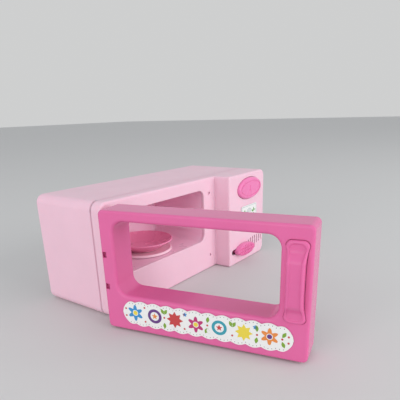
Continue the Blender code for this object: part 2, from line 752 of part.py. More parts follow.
def make_rear_case():
    """Moulded rear case: back, sides, top and the flat base, with its posts, sockets and battery opening."""
    front = SEAM_Y + GAP
    case = slab("rear_case", inset_box_outline(0, CORNER_RADIUS), front, REAR_Y, "Y")
    case = round_edges(case, REAR_ROUND, lambda at: at.y > REAR_Y - WELD)
    cut(case, slab("case_hollow", inset_box_outline(CASE_WALL, CORNER_RADIUS - CASE_WALL),
                   front - OVERRUN, REAR_Y - CASE_WALL, "Y"))
    holes = []
    post_end = FACE_Y + CASE_BOSS_END + GAP
    head_seat = post_end + CASE_POST_FLOOR
    for place in CASE_SCREW_PLACES:
        centre = (LEFT + place[0], place[1])
        join(case, rod("case_post", centre, CASE_BOSS_RADIUS + CASE_SCREW[2] / 2, post_end,
                       REAR_Y - CASE_WALL + GAP, "Y"))
        holes.append(rod("case_clearance", centre, CASE_SCREW[2] + GAP, post_end - OVERRUN, REAR_Y, "Y", 12))
        holes.append(rod("case_counterbore", centre, CASE_SCREW[0] + GAP, head_seat, REAR_Y + OVERRUN, "Y"))
    sockets = ((spindle_centre(), SPINDLE_RADIUS, SOCKET_HEIGHT), (idler_centre(), IDLER_PIN_RADIUS,
                                                                  IDLER_SOCKET_HEIGHT))
    for centre, radius, height in sockets:
        top = CASE_WALL + height
        join(case, rod("shaft_socket", centre, radius + GAP + SOCKET_WALL, CASE_WALL - GAP, top))
        holes.append(rod("socket_bore", centre, radius + GAP, CASE_WALL, top + OVERRUN, steps=12))
    bracket_bottom = CASE_WALL + GAP + MOTOR_HEIGHT + GAP
    for centre in bracket_places():
        join(case, rod("bracket_post", centre, BRACKET_POST_RADIUS, CASE_WALL - GAP, bracket_bottom - GAP))
        holes.append(rod("bracket_pilot", centre, SMALL_SCREW[2] + GAP, CASE_WALL + CASE_WALL,
                         bracket_bottom + OVERRUN, steps=12))
    holes.extend(cover_parts(GAP, -OVERRUN, CASE_WALL + OVERRUN / 2))
    cut(case, *holes)
    return finish(settled("rear_case", case), PINK_SHELL)


def make_screw(name, sizes, centre, seat, direction):
    """A screw with a domed head; direction is where its shank points, along Y or along Z."""
    head_radius, head_height, shank_radius, length = sizes
    profile = (
        (0, head_height),
        (head_radius * math.cos(math.radians(50)), head_height),
        (head_radius, head_height / 2),
        (head_radius, 0),
        (shank_radius, 0),
        (shank_radius, shank_radius - length),
        (0, -length),
    )
    screw = turned(name, profile, 14)
    if direction == "forward":
        screw.rotation_euler = (math.radians(-90), 0, 0)
        screw.location = (centre[0], seat, centre[1])
    elif direction == "up":
        screw.rotation_euler = (math.radians(180), 0, 0)
        screw.location = (*centre, seat)
    else:
        screw.location = (*centre, seat)
    return finish(screw, STEEL)


def make_case_screws():
    seat = FACE_Y + CASE_BOSS_END + GAP + CASE_POST_FLOOR + GAP
    for number, place in enumerate(CASE_SCREW_PLACES, 1):
        make_screw(f"case_screw_{number}", CASE_SCREW, (LEFT + place[0], place[1]), seat, "forward")


def make_oven_chamber():
    """Five-sided cooking chamber behind the mouth, with holes for the turntable's hub and the lamp."""
    low = (LEFT + MOUTH_LEFT, MOUTH_BOTTOM)
    high = (LEFT + MOUTH_RIGHT, MOUTH_TOP)
    outer_low = tuple(value - CHAMBER_WALL for value in low)
    outer_high = tuple(value + CHAMBER_WALL for value in high)
    back = FACE_Y + CAVITY_BACK
    front = INNER_FACE_Y + GAP
    chamber = slab("oven_chamber", rounded_outline(outer_low, outer_high, MOUTH_RADIUS + CHAMBER_WALL),
                   front, back + CHAMBER_WALL, "Y")
    hub_hole = rod("hub_hole", spindle_centre(), HUB_RADIUS + GAP, CHAMBER_UNDERSIDE - OVERRUN,
                   MOUTH_BOTTOM + OVERRUN)
    lamp_hole = rod("lamp_hole", (PLATE_X, PLATE_Y - LAMP_AHEAD), LAMP_RADIUS + GAP, MOUTH_TOP - OVERRUN,
                    MOUTH_TOP + CHAMBER_WALL + OVERRUN)
    cut(chamber, slab("chamber_hollow", rounded_outline(low, high, MOUTH_RADIUS), front - OVERRUN, back, "Y"),
        hub_hole, lamp_hole)
    return finish(settled("oven_chamber", chamber), PALE_PINK)


def make_lamp():
    """Small lamp that hangs through the chamber's ceiling by its flange."""
    seat = MOUTH_TOP + CHAMBER_WALL + GAP
    profile = (
        (0, seat + LAMP_FLANGE_THICKNESS),
        (LAMP_FLANGE, seat + LAMP_FLANGE_THICKNESS),
        (LAMP_FLANGE, seat),
        (LAMP_RADIUS, seat),
        (LAMP_RADIUS, seat - LAMP_BODY + LAMP_DROP),
        (LAMP_RADIUS * math.cos(math.radians(45)), seat - LAMP_BODY + LAMP_RADIUS * math.cos(math.radians(75))),
        (0, seat - LAMP_BODY),
    )
    lamp = turned("lamp", profile)
    lamp.location = (PLATE_X, PLATE_Y - LAMP_AHEAD, 0)
    return finish(lamp, CLEAR_LENS)


def gear(name, centre, teeth, low, high, bore, phase_share):
    """A spur gear with straight-sided teeth; phase_share turns it by that share of a tooth."""
    pitch_radius = GEAR_MODULE * teeth / 2
    root = pitch_radius - GEAR_MODULE * GEAR_ROOT_SHARE
    tip = pitch_radius + GEAR_MODULE * GEAR_TIP_SHARE
    tooth_angle = 2 * math.pi / teeth
    low_share, high_share = TOOTH_WIDTH_SHARES
    outline = []
    for tooth in range(teeth):
        for radius, share in ((root, -low_share), (tip, -high_share), (tip, high_share), (root, low_share)):
            angle = tooth_angle * (tooth + phase_share + share)
            outline.append((centre[0] + radius * math.cos(angle), centre[1] + radius * math.sin(angle)))
    wheel = slab(name, outline, low, high)
    cut(wheel, rod("gear_bore", centre, bore + GAP, low - OVERRUN, high + OVERRUN))
    return settled(name, wheel)


def hub_bottom():
    return TABLE_BOTTOM - CHAMBER_WALL - HUB_DROP


def make_turntable(axle):
    """Turning disc on the cavity floor, with a hub that passes through the floor to the drive."""
    inner_rim = TABLE_RADIUS - TABLE_RIM
    profile = (
        (0, TABLE_TOP),
        (inner_rim - TABLE_RIM_RISE, TABLE_TOP),
        (inner_rim, TABLE_TOP + TABLE_RIM_RISE),
        (TABLE_RADIUS - TABLE_RIM_RISE / 2, TABLE_TOP + TABLE_RIM_RISE),
        (TABLE_RADIUS, TABLE_TOP + TABLE_RIM_RISE / 2),
        (TABLE_RADIUS, TABLE_BOTTOM),
        (HUB_RADIUS, TABLE_BOTTOM),
        (HUB_RADIUS, hub_bottom()),
        (0, hub_bottom()),
    )
    table = turned("turntable", profile, FINE_STEPS)
    table.data.transform(Matrix.Translation((PLATE_X, PLATE_Y, 0)))
    socket_depth = (TABLE_BOTTOM - hub_bottom()) * HUB_SOCKET_SHARE
    cut(table, rod("hub_socket", spindle_centre(), SPINDLE_RADIUS + GAP, hub_bottom() - OVERRUN,
                   hub_bottom() + socket_depth, steps=12))
    table = finish(settled("turntable", table), PALE_PINK)
    spindle_top = hub_bottom() + socket_depth - GAP
    spindle = finish(rod("turntable_spindle", spindle_centre(), SPINDLE_RADIUS, CASE_WALL + GAP, spindle_top,
                         steps=12), WHITE_PLASTIC)
    wheel = gear("spindle_gear", spindle_centre(), SPINDLE_TEETH, SPINDLE_GEAR_LEVEL,
                 SPINDLE_GEAR_LEVEL + WHEEL_THICKNESS, SPINDLE_RADIUS, 0)
    carry(axle, table, spindle, finish(wheel, WHITE_PLASTIC, smooth=False))


def make_idler(axle):
    """Double gear between the motor and the spindle: a wheel above a pinion, on a steel pin."""
    centre = idler_centre()
    low = SPINDLE_GEAR_LEVEL - PINION_OVERLAP
    idler = gear("idler_gear", centre, PINION_TEETH, low, IDLER_WHEEL_LEVEL + GAP, IDLER_PIN_RADIUS, 0.5)
    wheel = gear("idler_wheel", centre, IDLER_TEETH, IDLER_WHEEL_LEVEL, IDLER_WHEEL_LEVEL + WHEEL_THICKNESS,
                 IDLER_PIN_RADIUS, 0)
    join(idler, wheel)
    carry(axle, finish(settled("idler_gear", idler), WHITE_PLASTIC, smooth=False))
    pin_top = IDLER_WHEEL_LEVEL + WHEEL_THICKNESS + PINION_OVERLAP
    finish(rod("idler_pin", centre, IDLER_PIN_RADIUS, CASE_WALL + GAP, pin_top, steps=12), STEEL)


def motor_top():
    return CASE_WALL + GAP + MOTOR_HEIGHT


def make_motor(axle):
    """Small can motor that stands on the base, its strap, its shaft and its pinion."""
    centre = motor_centre()
    can = rod("motor_can", centre, MOTOR_RADIUS, CASE_WALL + GAP, motor_top(), steps=FINE_STEPS // 2 + 4)
    can = round_edges(can, MOTOR_ROUND, lambda at: at.z > motor_top() - WELD, 2)
    shaft_bottom = motor_top() - MOTOR_SHAFT_SINK
    cut(can, rod("shaft_hole", centre, MOTOR_SHAFT_RADIUS + GAP, shaft_bottom - GAP, motor_top() + OVERRUN,
                 steps=12))
    finish(settled("motor_can", can), STEEL)
    low = motor_top() + GAP
    high = low + BRACKET_THICKNESS
    reach = BRACKET_REACH + BRACKET_WIDTH / 3
    half = BRACKET_WIDTH / 2
    strap = slab("motor_strap", rounded_outline((centre[0] - half, centre[1] - reach),
                                                (centre[0] + half, centre[1] + reach), half / 2), low, high)
    cut(strap, rod("strap_hole", centre, STRAP_HOLE_RADIUS, low - OVERRUN, high + OVERRUN),
        *[rod("strap_screw_hole", place, SMALL_SCREW[2] + GAP, low - OVERRUN, high + OVERRUN, steps=12)
          for place in bracket_places()])
    finish(settled("motor_strap", strap), WHITE_PLASTIC)
    for number, place in enumerate(bracket_places(), 1):
        make_screw(f"motor_screw_{number}", SMALL_SCREW, place, high + GAP, "down")
    pinion_low = IDLER_WHEEL_LEVEL - PINION_OVERLAP / 2
    pinion_high = IDLER_WHEEL_LEVEL + WHEEL_THICKNESS + PINION_OVERLAP / 2
    shaft = finish(rod("motor_shaft", centre, MOTOR_SHAFT_RADIUS, shaft_bottom, pinion_high, steps=12), STEEL)
    pinion = gear("motor_pinion", centre, PINION_TEETH, pinion_low, pinion_high, MOTOR_SHAFT_RADIUS, 0.5)
    carry(axle, shaft, finish(pinion, BRASS, smooth=False))


def make_dish(lift):
    """Shallow round dish that stands loose on the turntable."""
    foot = TABLE_TOP + GAP
    base = foot + DISH_FOOT_HEIGHT
    rim = foot + DISH_HEIGHT
    rise = rim - base
    outside = []
    inside = []
    for step in range(DISH_CURVE_STEPS + 1):
        share = step / DISH_CURVE_STEPS
        radius = DISH_FOOT_RADIUS + (DISH_RADIUS - DISH_FOOT_RADIUS) * math.sin(math.radians(90) * share)
        height = base + rise * (1 - math.cos(math.radians(90) * share))
        outside.append((radius, height))
        inside.append((radius - DISH_WALL, height + DISH_WALL * (1 - share)))
    profile = [(0, base + DISH_WALL), *inside]
    profile.append((DISH_RADIUS - DISH_WALL / 2, rim + DISH_WALL / 3))
    profile.extend(reversed(outside))
    profile.append((DISH_FOOT_RADIUS, foot))
    profile.append((DISH_FOOT_RADIUS - DISH_WALL, foot))
    profile.append((DISH_FOOT_RADIUS - DISH_WALL, base))
    profile.append((0, base))
    dish = turned("dish", profile, FINE_STEPS)
    dish.data.transform(Matrix.Translation((PLATE_X, PLATE_Y, 0)))
    carry(lift, finish(dish, HOT_PINK))


def cell_places():
    """Centres of the two cells across the tray."""
    return (TRAY_X - CELL_PITCH / 2, TRAY_X + CELL_PITCH / 2)


def tray_middle():
    return TRAY_Y + TRAY_LENGTH / 2


def make_battery_tray():
    """Open-bottomed tray that holds the cells, with a block for the cover's screw."""
    half = TRAY_WIDTH / 2
    low = CASE_WALL + GAP
    tray = box("battery_tray", (TRAY_X - half, TRAY_Y, low), (TRAY_X + half, TRAY_Y + TRAY_LENGTH, low + TRAY_HEIGHT))
    x, y = ear_screw_place()
    block = box("ear_block", (x - EAR_REACH / 2, y - EAR_WIDTH / 2, low), (TRAY_X - half + TRAY_WALL / 2,
                                                                         y + EAR_WIDTH / 2, low + EAR_BLOCK_HEIGHT))
    join(tray, block)
    hollow = box("tray_hollow", (TRAY_X - half + TRAY_WALL, TRAY_Y + TRAY_WALL, low - OVERRUN),
                 (TRAY_X + half - TRAY_WALL, TRAY_Y + TRAY_LENGTH - TRAY_WALL, low + TRAY_HEIGHT - TRAY_WALL))
    pilot = rod("ear_pilot", (x, y), SMALL_SCREW[2] + GAP, low - OVERRUN, low + EAR_BLOCK_HEIGHT - TRAY_WALL,
                steps=12)
    cut(tray, hollow, pilot)
    finish(settled("battery_tray", tray), WHITE_PLASTIC)


def make_cells():
    """Two cells head to tail, their end contacts and their springs."""
    profile = (
        (0, CELL_LENGTH + CELL_NIPPLE_HEIGHT),
        (CELL_NIPPLE_RADIUS, CELL_LENGTH + CELL_NIPPLE_HEIGHT),
        (CELL_NIPPLE_RADIUS, CELL_LENGTH),
        (CELL_RADIUS, CELL_LENGTH),
        (CELL_RADIUS, 0),
        (0, 0),
    )
    tray_end = TRAY_Y + TRAY_LENGTH
    plus_y = TRAY_Y + TRAY_WALL + GAP
    cell_plus_end = plus_y + CONTACT_THICKNESS + GAP
    spring_low = cell_plus_end + CELL_NIPPLE_HEIGHT + CELL_LENGTH + GAP
    spring_high = tray_end - TRAY_WALL - GAP - CONTACT_THICKNESS - GAP
    for number, (x, facing) in enumerate(zip(cell_places(), (1, -1)), 1):
        flip = Matrix.Translation((x, tray_middle(), CELL_LEVEL)) @ Matrix.Rotation(
            0 if facing > 0 else math.pi, 4, 'Z')
        cell = turned(f"battery_cell_{number}", profile, FINE_STEPS // 2)
        cell.data.transform(Matrix.Translation((0, cell_plus_end + CELL_NIPPLE_HEIGHT + CELL_LENGTH
                                                - tray_middle(), 0)) @ Matrix.Rotation(math.radians(90), 4, 'X'))
        cell.data.transform(flip)
        finish(cell, CELL_WRAP)
        spring = spring_coil(f"battery_spring_{number}", spring_low - tray_middle(), spring_high - tray_middle())
        spring.data.transform(flip)
        finish(spring, STEEL)
    half = CONTACT_SIZE / 2
    left, right = cell_places()
    low = CELL_LEVEL - half
    high = CELL_LEVEL + half
    for name, x in (("contact_plus", left), ("contact_minus", right)):
        finish(box(name, (x - half, plus_y, low), (x + half, plus_y + CONTACT_THICKNESS, high)), STEEL, False)
    link_y = tray_end - TRAY_WALL - GAP - CONTACT_THICKNESS
    finish(box("contact_link", (left - half, link_y, low), (right + half, link_y + CONTACT_THICKNESS, high)),
           STEEL, False)


def spring_coil(name, start, end):
    """A short battery spring wound about Y."""
    curve = bpy.data.curves.new(name, 'CURVE')
    curve.dimensions = '3D'
    curve.bevel_depth = SPRING_WIRE
    curve.bevel_resolution = 1
    curve.use_fill_caps = True
    spline = curve.splines.new('POLY')
    steps = SPRING_TURNS * SPRING_TURN_STEPS
    spline.points.add(steps)
    for step, point in enumerate(spline.points):
        turn = 2 * math.pi * step / SPRING_TURN_STEPS
        along = start + SPRING_WIRE + (end - start - 2 * SPRING_WIRE) * step / steps
        point.co = (SPRING_RADIUS * math.cos(turn), along, SPRING_RADIUS * math.sin(turn), 1)
    holder = bpy.data.objects.new(name, curve)
    parts.objects.link(holder)
    return settled(name, holder)


def make_battery_cover():
    """Cover flush with the base, held by one screw through its ear."""
    high = GAP + COVER_THICKNESS
    plate, ear = cover_parts(0, GAP, high)
    join(plate, ear)
    x, y = ear_screw_place()
    cut(plate, rod("cover_screw_hole", (x, y), SMALL_SCREW[2] + GAP, -OVERRUN, high + OVERRUN, steps=12),
        rod("cover_head_recess", (x, y), SMALL_SCREW[0] + GAP, -OVERRUN, GAP + GAP + SMALL_SCREW[1], steps=14))
    finish(settled("battery_cover", plate), PINK_SHELL)
    make_screw("battery_cover_screw", SMALL_SCREW, (x, y), GAP + SMALL_SCREW[1], "up")


def board_front():
    return INNER_CONTROL_Y + BOARD_STANDOFF + GAP


def lip_front():
    return INNER_CONTROL_Y + GAP


def make_board():
    """Circuit board behind the button, with its switch, its sealed chip and two screws."""
    front = board_front()
    rear = front + BOARD_THICKNESS
    board = box("circuit_board", (BOARD_LEFT, front, BOARD_BOTTOM), (BOARD_RIGHT, rear, BOARD_BOTTOM + BOARD_HEIGHT))
    cut(board, *[rod("board_hole", place, SMALL_SCREW[2] + GAP, front - OVERRUN, rear + OVERRUN, "Y", 12)
                 for place in board_places()])
    finish(settled("circuit_board", board), BOARD_GREEN, False)
    for number, place in enumerate(board_places(), 1):
        make_screw(f"board_screw_{number}", SMALL_SCREW, place, rear + GAP, "forward")
    half = SWITCH_SIZE / 2
    switch_rear = front - GAP
    switch_front = switch_rear - SWITCH_DEPTH
    switch = box("push_switch", (BUTTON_X - half, switch_front, BUTTON_LEVEL - half),
                 (BUTTON_X + half, switch_rear, BUTTON_LEVEL + half))
    cut(switch, rod("plunger_bore", (BUTTON_X, BUTTON_LEVEL), PLUNGER_RADIUS + GAP, switch_front - OVERRUN,
                    switch_rear - SWITCH_DEPTH / 4, "Y", 16))
    finish(settled("push_switch", switch), BLACK_PLASTIC, False)
    chip = turned("sound_chip", ((0, CHIP_RISE), (CHIP_RADIUS / 2, CHIP_RISE * CHIP_SHOULDER_SHARE),
                                 (CHIP_RADIUS, 0), (0, 0)), 16)
    chip_x = BOARD_LEFT + (BOARD_RIGHT - BOARD_LEFT) / 3
    chip.data.transform(Matrix.Translation((chip_x, rear + GAP, BOARD_BOTTOM + BOARD_HEIGHT / 2))
                        @ Matrix.Rotation(math.radians(-90), 4, 'X'))
    finish(chip, BLACK_PLASTIC)


def make_button(slide):
    """Push button: a bevelled elliptical cap with a raised start mark, a lip behind the panel and its plunger."""
    front = CONTROL_Y - BUTTON_PROUD
    lip = lip_front()
    lip_rear = lip + BUTTON_LIP_THICKNESS
    cap = slab("push_button", button_outline(0), front, lip + GAP, "Y")
    cap = round_edges(cap, BUTTON_BEVEL, lambda at: at.y < front + WELD)
    join(cap, slab("button_lip", button_outline(BUTTON_LIP), lip, lip_rear, "Y"))
    centre = (BUTTON_X, BUTTON_LEVEL)
    mark = rod("start_mark", centre, ICON_RADIUS, front - ICON_RISE, front + ICON_ROOT, "Y", 3)
    join(cap, mark)
    plunger_front = lip_rear + GAP
    plunger_rear = board_front() - GAP - SWITCH_DEPTH / 4 - BUTTON_TRAVEL - GAP
    plunger = rod("switch_plunger", centre, PLUNGER_RADIUS, plunger_front, plunger_rear, "Y", 16)
    carry(slide, finish(settled("push_button", cap), HOT_PINK), finish(plunger, BLACK_PLASTIC))


def slide_switch_planes():
    """Front of the slide switch's plate, front of its body and its rear."""
    plate = INNER_CONTROL_Y + SLIDE_STANDOFF + GAP
    return plate, plate + SLIDE_PLATE_THICKNESS, plate + SLIDE_PLATE_THICKNESS + SLIDE_BODY_DEPTH


def make_slide_switch():
    """Slide switch on two posts behind its knob, with a window for the lever."""
    plate_y, body_y, rear_y = slide_switch_planes()
    x = NECK_X - KNOB_TRAVEL / 2
    low = (x - SLIDE_PLATE_WIDTH / 2, KNOB_LEVEL - SLIDE_PLATE_HEIGHT / 2)
    high = (x + SLIDE_PLATE_WIDTH / 2, KNOB_LEVEL + SLIDE_PLATE_HEIGHT / 2)
    switch = slab("slide_switch", rounded_outline(low, high, SLIDE_POST_RADIUS / 2, 3), plate_y, body_y, "Y")
    half = SLIDE_BODY_LENGTH / 2
    body = box("slide_body", (x - half, body_y - GAP, KNOB_LEVEL - SLIDE_BODY_HEIGHT / 2),
               (x + half, rear_y, KNOB_LEVEL + SLIDE_BODY_HEIGHT / 2))
    join(switch, body)
    reach = (KNOB_TRAVEL + LEVER_WIDTH) / 2 + GAP
    rise = LEVER_HEIGHT / 2 + GAP
    window = box("lever_window", (x - reach, plate_y - OVERRUN, KNOB_LEVEL - rise),
                 (x + reach, body_y + LEVER_REACH + GAP, KNOB_LEVEL + rise))
    cut(switch, window, *[rod("slide_hole", place, SMALL_SCREW[2] + GAP, plate_y - OVERRUN, body_y + OVERRUN,
                              "Y", 12) for place in slide_places()])
    finish(settled("slide_switch", switch), STEEL, False)
    for number, place in enumerate(slide_places(), 1):
        make_screw(f"switch_screw_{number}", SMALL_SCREW, place, body_y + GAP, "forward")


def make_knob(slide):
    """Slide knob: a ribbed oval grip, its neck in the slot, a foot behind the panel and the lever."""
    front = CONTROL_Y - KNOB_PROUD
    grip = slab("slide_knob", ellipse_outline((KNOB_X, KNOB_LEVEL), KNOB_LENGTH, KNOB_HEIGHT), front,
                CONTROL_Y - GAP, "Y")
    grip = round_edges(grip, KNOB_ROUND, lambda at: at.y < front + WELD, 2)
    pitch = KNOB_RIB_WIDTH + KNOB_RIB_GAP
    grooves = []
    for number in range(KNOB_RIB_COUNT + 1):
        x = KNOB_X + (number - KNOB_RIB_COUNT / 2) * pitch
        grooves.append(box("rib_groove", (x - KNOB_RIB_GAP / 2, front - OVERRUN, KNOB_LEVEL - KNOB_HEIGHT),
                           (x + KNOB_RIB_GAP / 2, front + KNOB_RIB_DEPTH, KNOB_LEVEL + KNOB_HEIGHT)))
    cut(grip, *grooves)
    foot_front = lip_front()
    neck = oval_outline((NECK_X, KNOB_LEVEL), NECK_LENGTH, SLOT_HEIGHT - GAP - GAP, 4)
    half = KNOB_FOOT_LENGTH / 2
    rise = KNOB_FOOT_HEIGHT / 2
    foot_rear = foot_front + KNOB_FOOT_THICKNESS
    join(grip, slab("knob_neck", neck, CONTROL_Y - GAP - GAP, foot_front + GAP, "Y"),
         box("knob_foot", (NECK_X - half, foot_front, KNOB_LEVEL - rise),
             (NECK_X + half, foot_rear, KNOB_LEVEL + rise)))
    lever = box("switch_lever", (NECK_X - LEVER_WIDTH / 2, foot_rear + GAP, KNOB_LEVEL - LEVER_HEIGHT / 2),
                (NECK_X + LEVER_WIDTH / 2, slide_switch_planes()[1] + LEVER_REACH, KNOB_LEVEL + LEVER_HEIGHT / 2))
    carry(slide, finish(settled("slide_knob", grip), HOT_PINK), finish(lever, BLACK_PLASTIC, False))


def make_speaker():
    """Small loudspeaker in the ring behind the grille: its frame, paper cone and magnet."""
    rim = SPEAKER_RADIUS - SPEAKER_RIM
    wall = SPEAKER_RIM_THICKNESS
    back = SPEAKER_MAGNET_RADIUS + wall
    frame = turned("speaker_frame", (
        (0, SPEAKER_DEPTH),
        (back, SPEAKER_DEPTH),
        (rim + wall / 2, wall),
        (SPEAKER_RADIUS, wall),
        (SPEAKER_RADIUS, 0),
        (rim, 0),
        (back - wall, SPEAKER_DEPTH - wall),
        (0, SPEAKER_DEPTH - wall),
    ), 24)
    cone_rim = rim - GAP - CONE_THICKNESS
    cone_depth = SPEAKER_DEPTH - wall - GAP - CONE_THICKNESS
    cone = turned("speaker_cone", (
        (0, cone_depth / 2 + CONE_THICKNESS),
        (cone_rim / 3, cone_depth + CONE_THICKNESS),
        (cone_rim, CONE_THICKNESS),
        (cone_rim, 0),
        (cone_rim / 3, cone_depth),
        (0, cone_depth / 2),
    ), 24)
    magnet = rod("speaker_magnet", (0, 0), SPEAKER_MAGNET_RADIUS, SPEAKER_DEPTH + GAP,
                 SPEAKER_DEPTH + GAP + SPEAKER_MAGNET_HEIGHT)
    place = Matrix.Translation((GRILLE_X, lip_front(), GRILLE_LEVEL)) @ Matrix.Rotation(math.radians(-90), 4, 'X')
    for piece, look in ((frame, STEEL), (cone, PAPER), (magnet, STEEL)):
        piece.data.transform(place)
        finish(piece, look)


def window_outline(grow):
    """The door window's outline, grown outwards."""
    low = (LEFT + WINDOW_LEFT - grow, WINDOW_BOTTOM - grow)
    high = (LEFT + WINDOW_RIGHT + grow, WINDOW_TOP + grow)
    return rounded_outline(low, high, WINDOW_RADIUS + grow)


def door_outline(inset):
    """The door's front outline, drawn in by a wall."""
    low = (LEFT + inset, DOOR_BOTTOM + inset)
    high = (LEFT + DOOR_WIDTH - inset, DOOR_TOP - inset)
    return rounded_outline(low, high, DOOR_CORNER - inset / 2)


def hinge_notch(name, inward):
    """Space for the case's arms at the door's hinge side, from the left to the window's wall."""
    low_arm, high_arm = arm_levels()
    reach = ARM_HEIGHT / 2 + NOTCH_PLAY
    return box(name, (LEFT - OVERRUN, DOOR_BACK_Y - NOTCH_DEPTH, low_arm - reach),
               (LEFT + inward, FACE_Y, high_arm + reach))


def hinge_eye(level):
    """An eye that reaches from the window's side wall, also from its round corner, to the pin, and its hole."""
    low = level - EYE_HEIGHT / 2
    high = level + EYE_HEIGHT / 2
    front = HINGE_Y - EYE_RADIUS
    back = HINGE_Y + EYE_RADIUS
    arm = box("eye_arm", (HINGE_X, front, low), (LEFT + WINDOW_LEFT + WINDOW_RADIUS, back, high))
    cut(arm, slab("eye_arm_end", window_outline(REVEAL_WALL / 2), front - OVERRUN, back + OVERRUN, "Y"))
    ring = rod("eye_ring", (HINGE_X, HINGE_Y), EYE_RADIUS, low, high)
    hole = rod("eye_hole", (HINGE_X, HINGE_Y), PIN_RADIUS + GAP, low - OVERRUN / 4, high + OVERRUN / 4)
    return (arm, ring), hole


def eye_levels():
    return (HINGE_MIDDLE - EYE_OFFSET, HINGE_MIDDLE + EYE_OFFSET)


def handle_outline(grow):
    """The handle's front outline: round corners and sides drawn in slightly at the middle."""
    middle_x = LEFT + HANDLE_LEFT + HANDLE_WIDTH / 2
    middle_z = HANDLE_BOTTOM + HANDLE_HEIGHT / 2
    half = HANDLE_WIDTH / 2 + grow
    rise = HANDLE_HEIGHT / 2 + grow
    rounded = rounded_outline((-half, -rise), (half, rise), HANDLE_CORNER)
    each = ARC_STEPS + 1
    corners = [rounded[each * corner:each * corner + each] for corner in range(4)]
    side_steps = 8
    straight = rise - HANDLE_CORNER
    side = []
    for step in range(1, side_steps):
        height = straight * (1 - 2 * step / side_steps)
        side.append((half - HANDLE_WAIST * math.cos(math.radians(90) * height / straight) ** 2, height))
    right = list(reversed(side))
    left = [(-u, v) for u, v in side]
    outline = corners[0] + corners[1] + left + corners[2] + corners[3] + right
    return [(middle_x + u, middle_z + v) for u, v in outline]


def handle_profile():
    """The handle seen from the side: low pads at its ends and a raised bar between two ramps."""
    base = DOOR_FRONT_Y + HANDLE_POCKET - GAP
    top = HANDLE_BOTTOM + HANDLE_HEIGHT
    ramp = []
    ramp_steps = 5
    for step in range(ramp_steps + 1):
        share = step / ramp_steps
        lift = HANDLE_PAD + (HANDLE_RISE - HANDLE_PAD) * (1 - math.cos(math.pi * share)) / 2
        ramp.append((DOOR_FRONT_Y - lift, HANDLE_PAD_LENGTH + HANDLE_RAMP_LENGTH * share))
    lower = [(y, HANDLE_BOTTOM + along) for y, along in ramp]
    upper = [(y, top - along) for y, along in reversed(ramp)]
    pad_y = DOOR_FRONT_Y - HANDLE_PAD
    return [(base, HANDLE_BOTTOM - OVERRUN), (pad_y, HANDLE_BOTTOM - OVERRUN), *lower, *upper,
            (pad_y, top + OVERRUN), (base, top + OVERRUN)]


def peg_places():
    """Two pegs behind the handle's pads."""
    x = LEFT + HANDLE_LEFT + HANDLE_WIDTH / 2
    inset = HANDLE_PAD_LENGTH / 2 + HANDLE_PAD / 2
    return ((x, HANDLE_BOTTOM + inset), (x, HANDLE_BOTTOM + HANDLE_HEIGHT - inset))


def make_door_frame(hinge):
    """Open-backed door moulding: front, edges and window walls, with its hinge eyes and screw bosses."""
    frame = slab("door_frame", door_outline(0), DOOR_FRONT_Y, DOOR_BACK_Y, "Y")
    cut(frame, slab("window", window_outline(0), DOOR_FRONT_Y - OVERRUN, DOOR_BACK_Y + OVERRUN, "Y"))
    inner_low = LEFT + (WINDOW_LEFT - GAP)
    inner_high = LEFT + WINDOW_RIGHT + GAP

    def share(at):
        in_window = inner_low < at.x < inner_high and WINDOW_BOTTOM - GAP < at.z < WINDOW_TOP + GAP
        return WINDOW_ROUND / DOOR_ROUND if in_window else 1.0

    flat = (DOOR_FRONT_Y + WELD, DOOR_BACK_Y - WELD)
    frame = round_edges(frame, DOOR_ROUND, lambda at: 0 if flat[0] < at.y < flat[1] else share(at))
    floor = DOOR_FRONT_Y + DOOR_WALL
    hollow = slab("door_hollow", door_outline(DOOR_WALL), floor, DOOR_BACK_Y + OVERRUN, "Y")
    cut(hollow, slab("window_wall", window_outline(REVEAL_WALL), floor - OVERRUN,
                     DOOR_BACK_Y + OVERRUN + OVERRUN, "Y"))
    cut(frame, hollow, hinge_notch("frame_notch", WINDOW_LEFT - REVEAL_WALL))
    holes = []
    boss_end = DOOR_BACK_Y - BACK_THICKNESS - GAP
    for place in DOOR_SCREW_PLACES:
        centre = (LEFT + place[0], place[1])
        join(frame, rod("door_boss", centre, DOOR_BOSS_RADIUS, floor - GAP, boss_end, "Y", 16))
        holes.append(rod("door_pilot", centre, SMALL_SCREW[2] + GAP, boss_end - SMALL_SCREW[3], boss_end + OVERRUN,
                         "Y", 12))
    for level in eye_levels():
        solids, hole = hinge_eye(level)
        join(frame, *solids)
        holes.append(hole)
        low = (LEFT + EYE_WINDOW_EDGE, DOOR_FRONT_Y - OVERRUN, level - EYE_WINDOW_HEIGHT / 2)
        high = (LEFT + EYE_WINDOW_EDGE + EYE_WINDOW_WIDTH, floor + GAP, level + EYE_WINDOW_HEIGHT / 2)
        holes.append(box("eye_window", low, high))
    pocket_floor = DOOR_FRONT_Y + HANDLE_POCKET
    holes.append(slab("handle_pocket", handle_outline(GAP), DOOR_FRONT_Y - OVERRUN, pocket_floor, "Y"))
    for place in peg_places():
        holes.append(rod("peg_hole", place, HANDLE_PAD + GAP, pocket_floor - GAP, floor + OVERRUN, "Y", 12))
    cut(frame, *holes)
    carry(hinge, finish(settled("door_frame", frame), HOT_PINK))


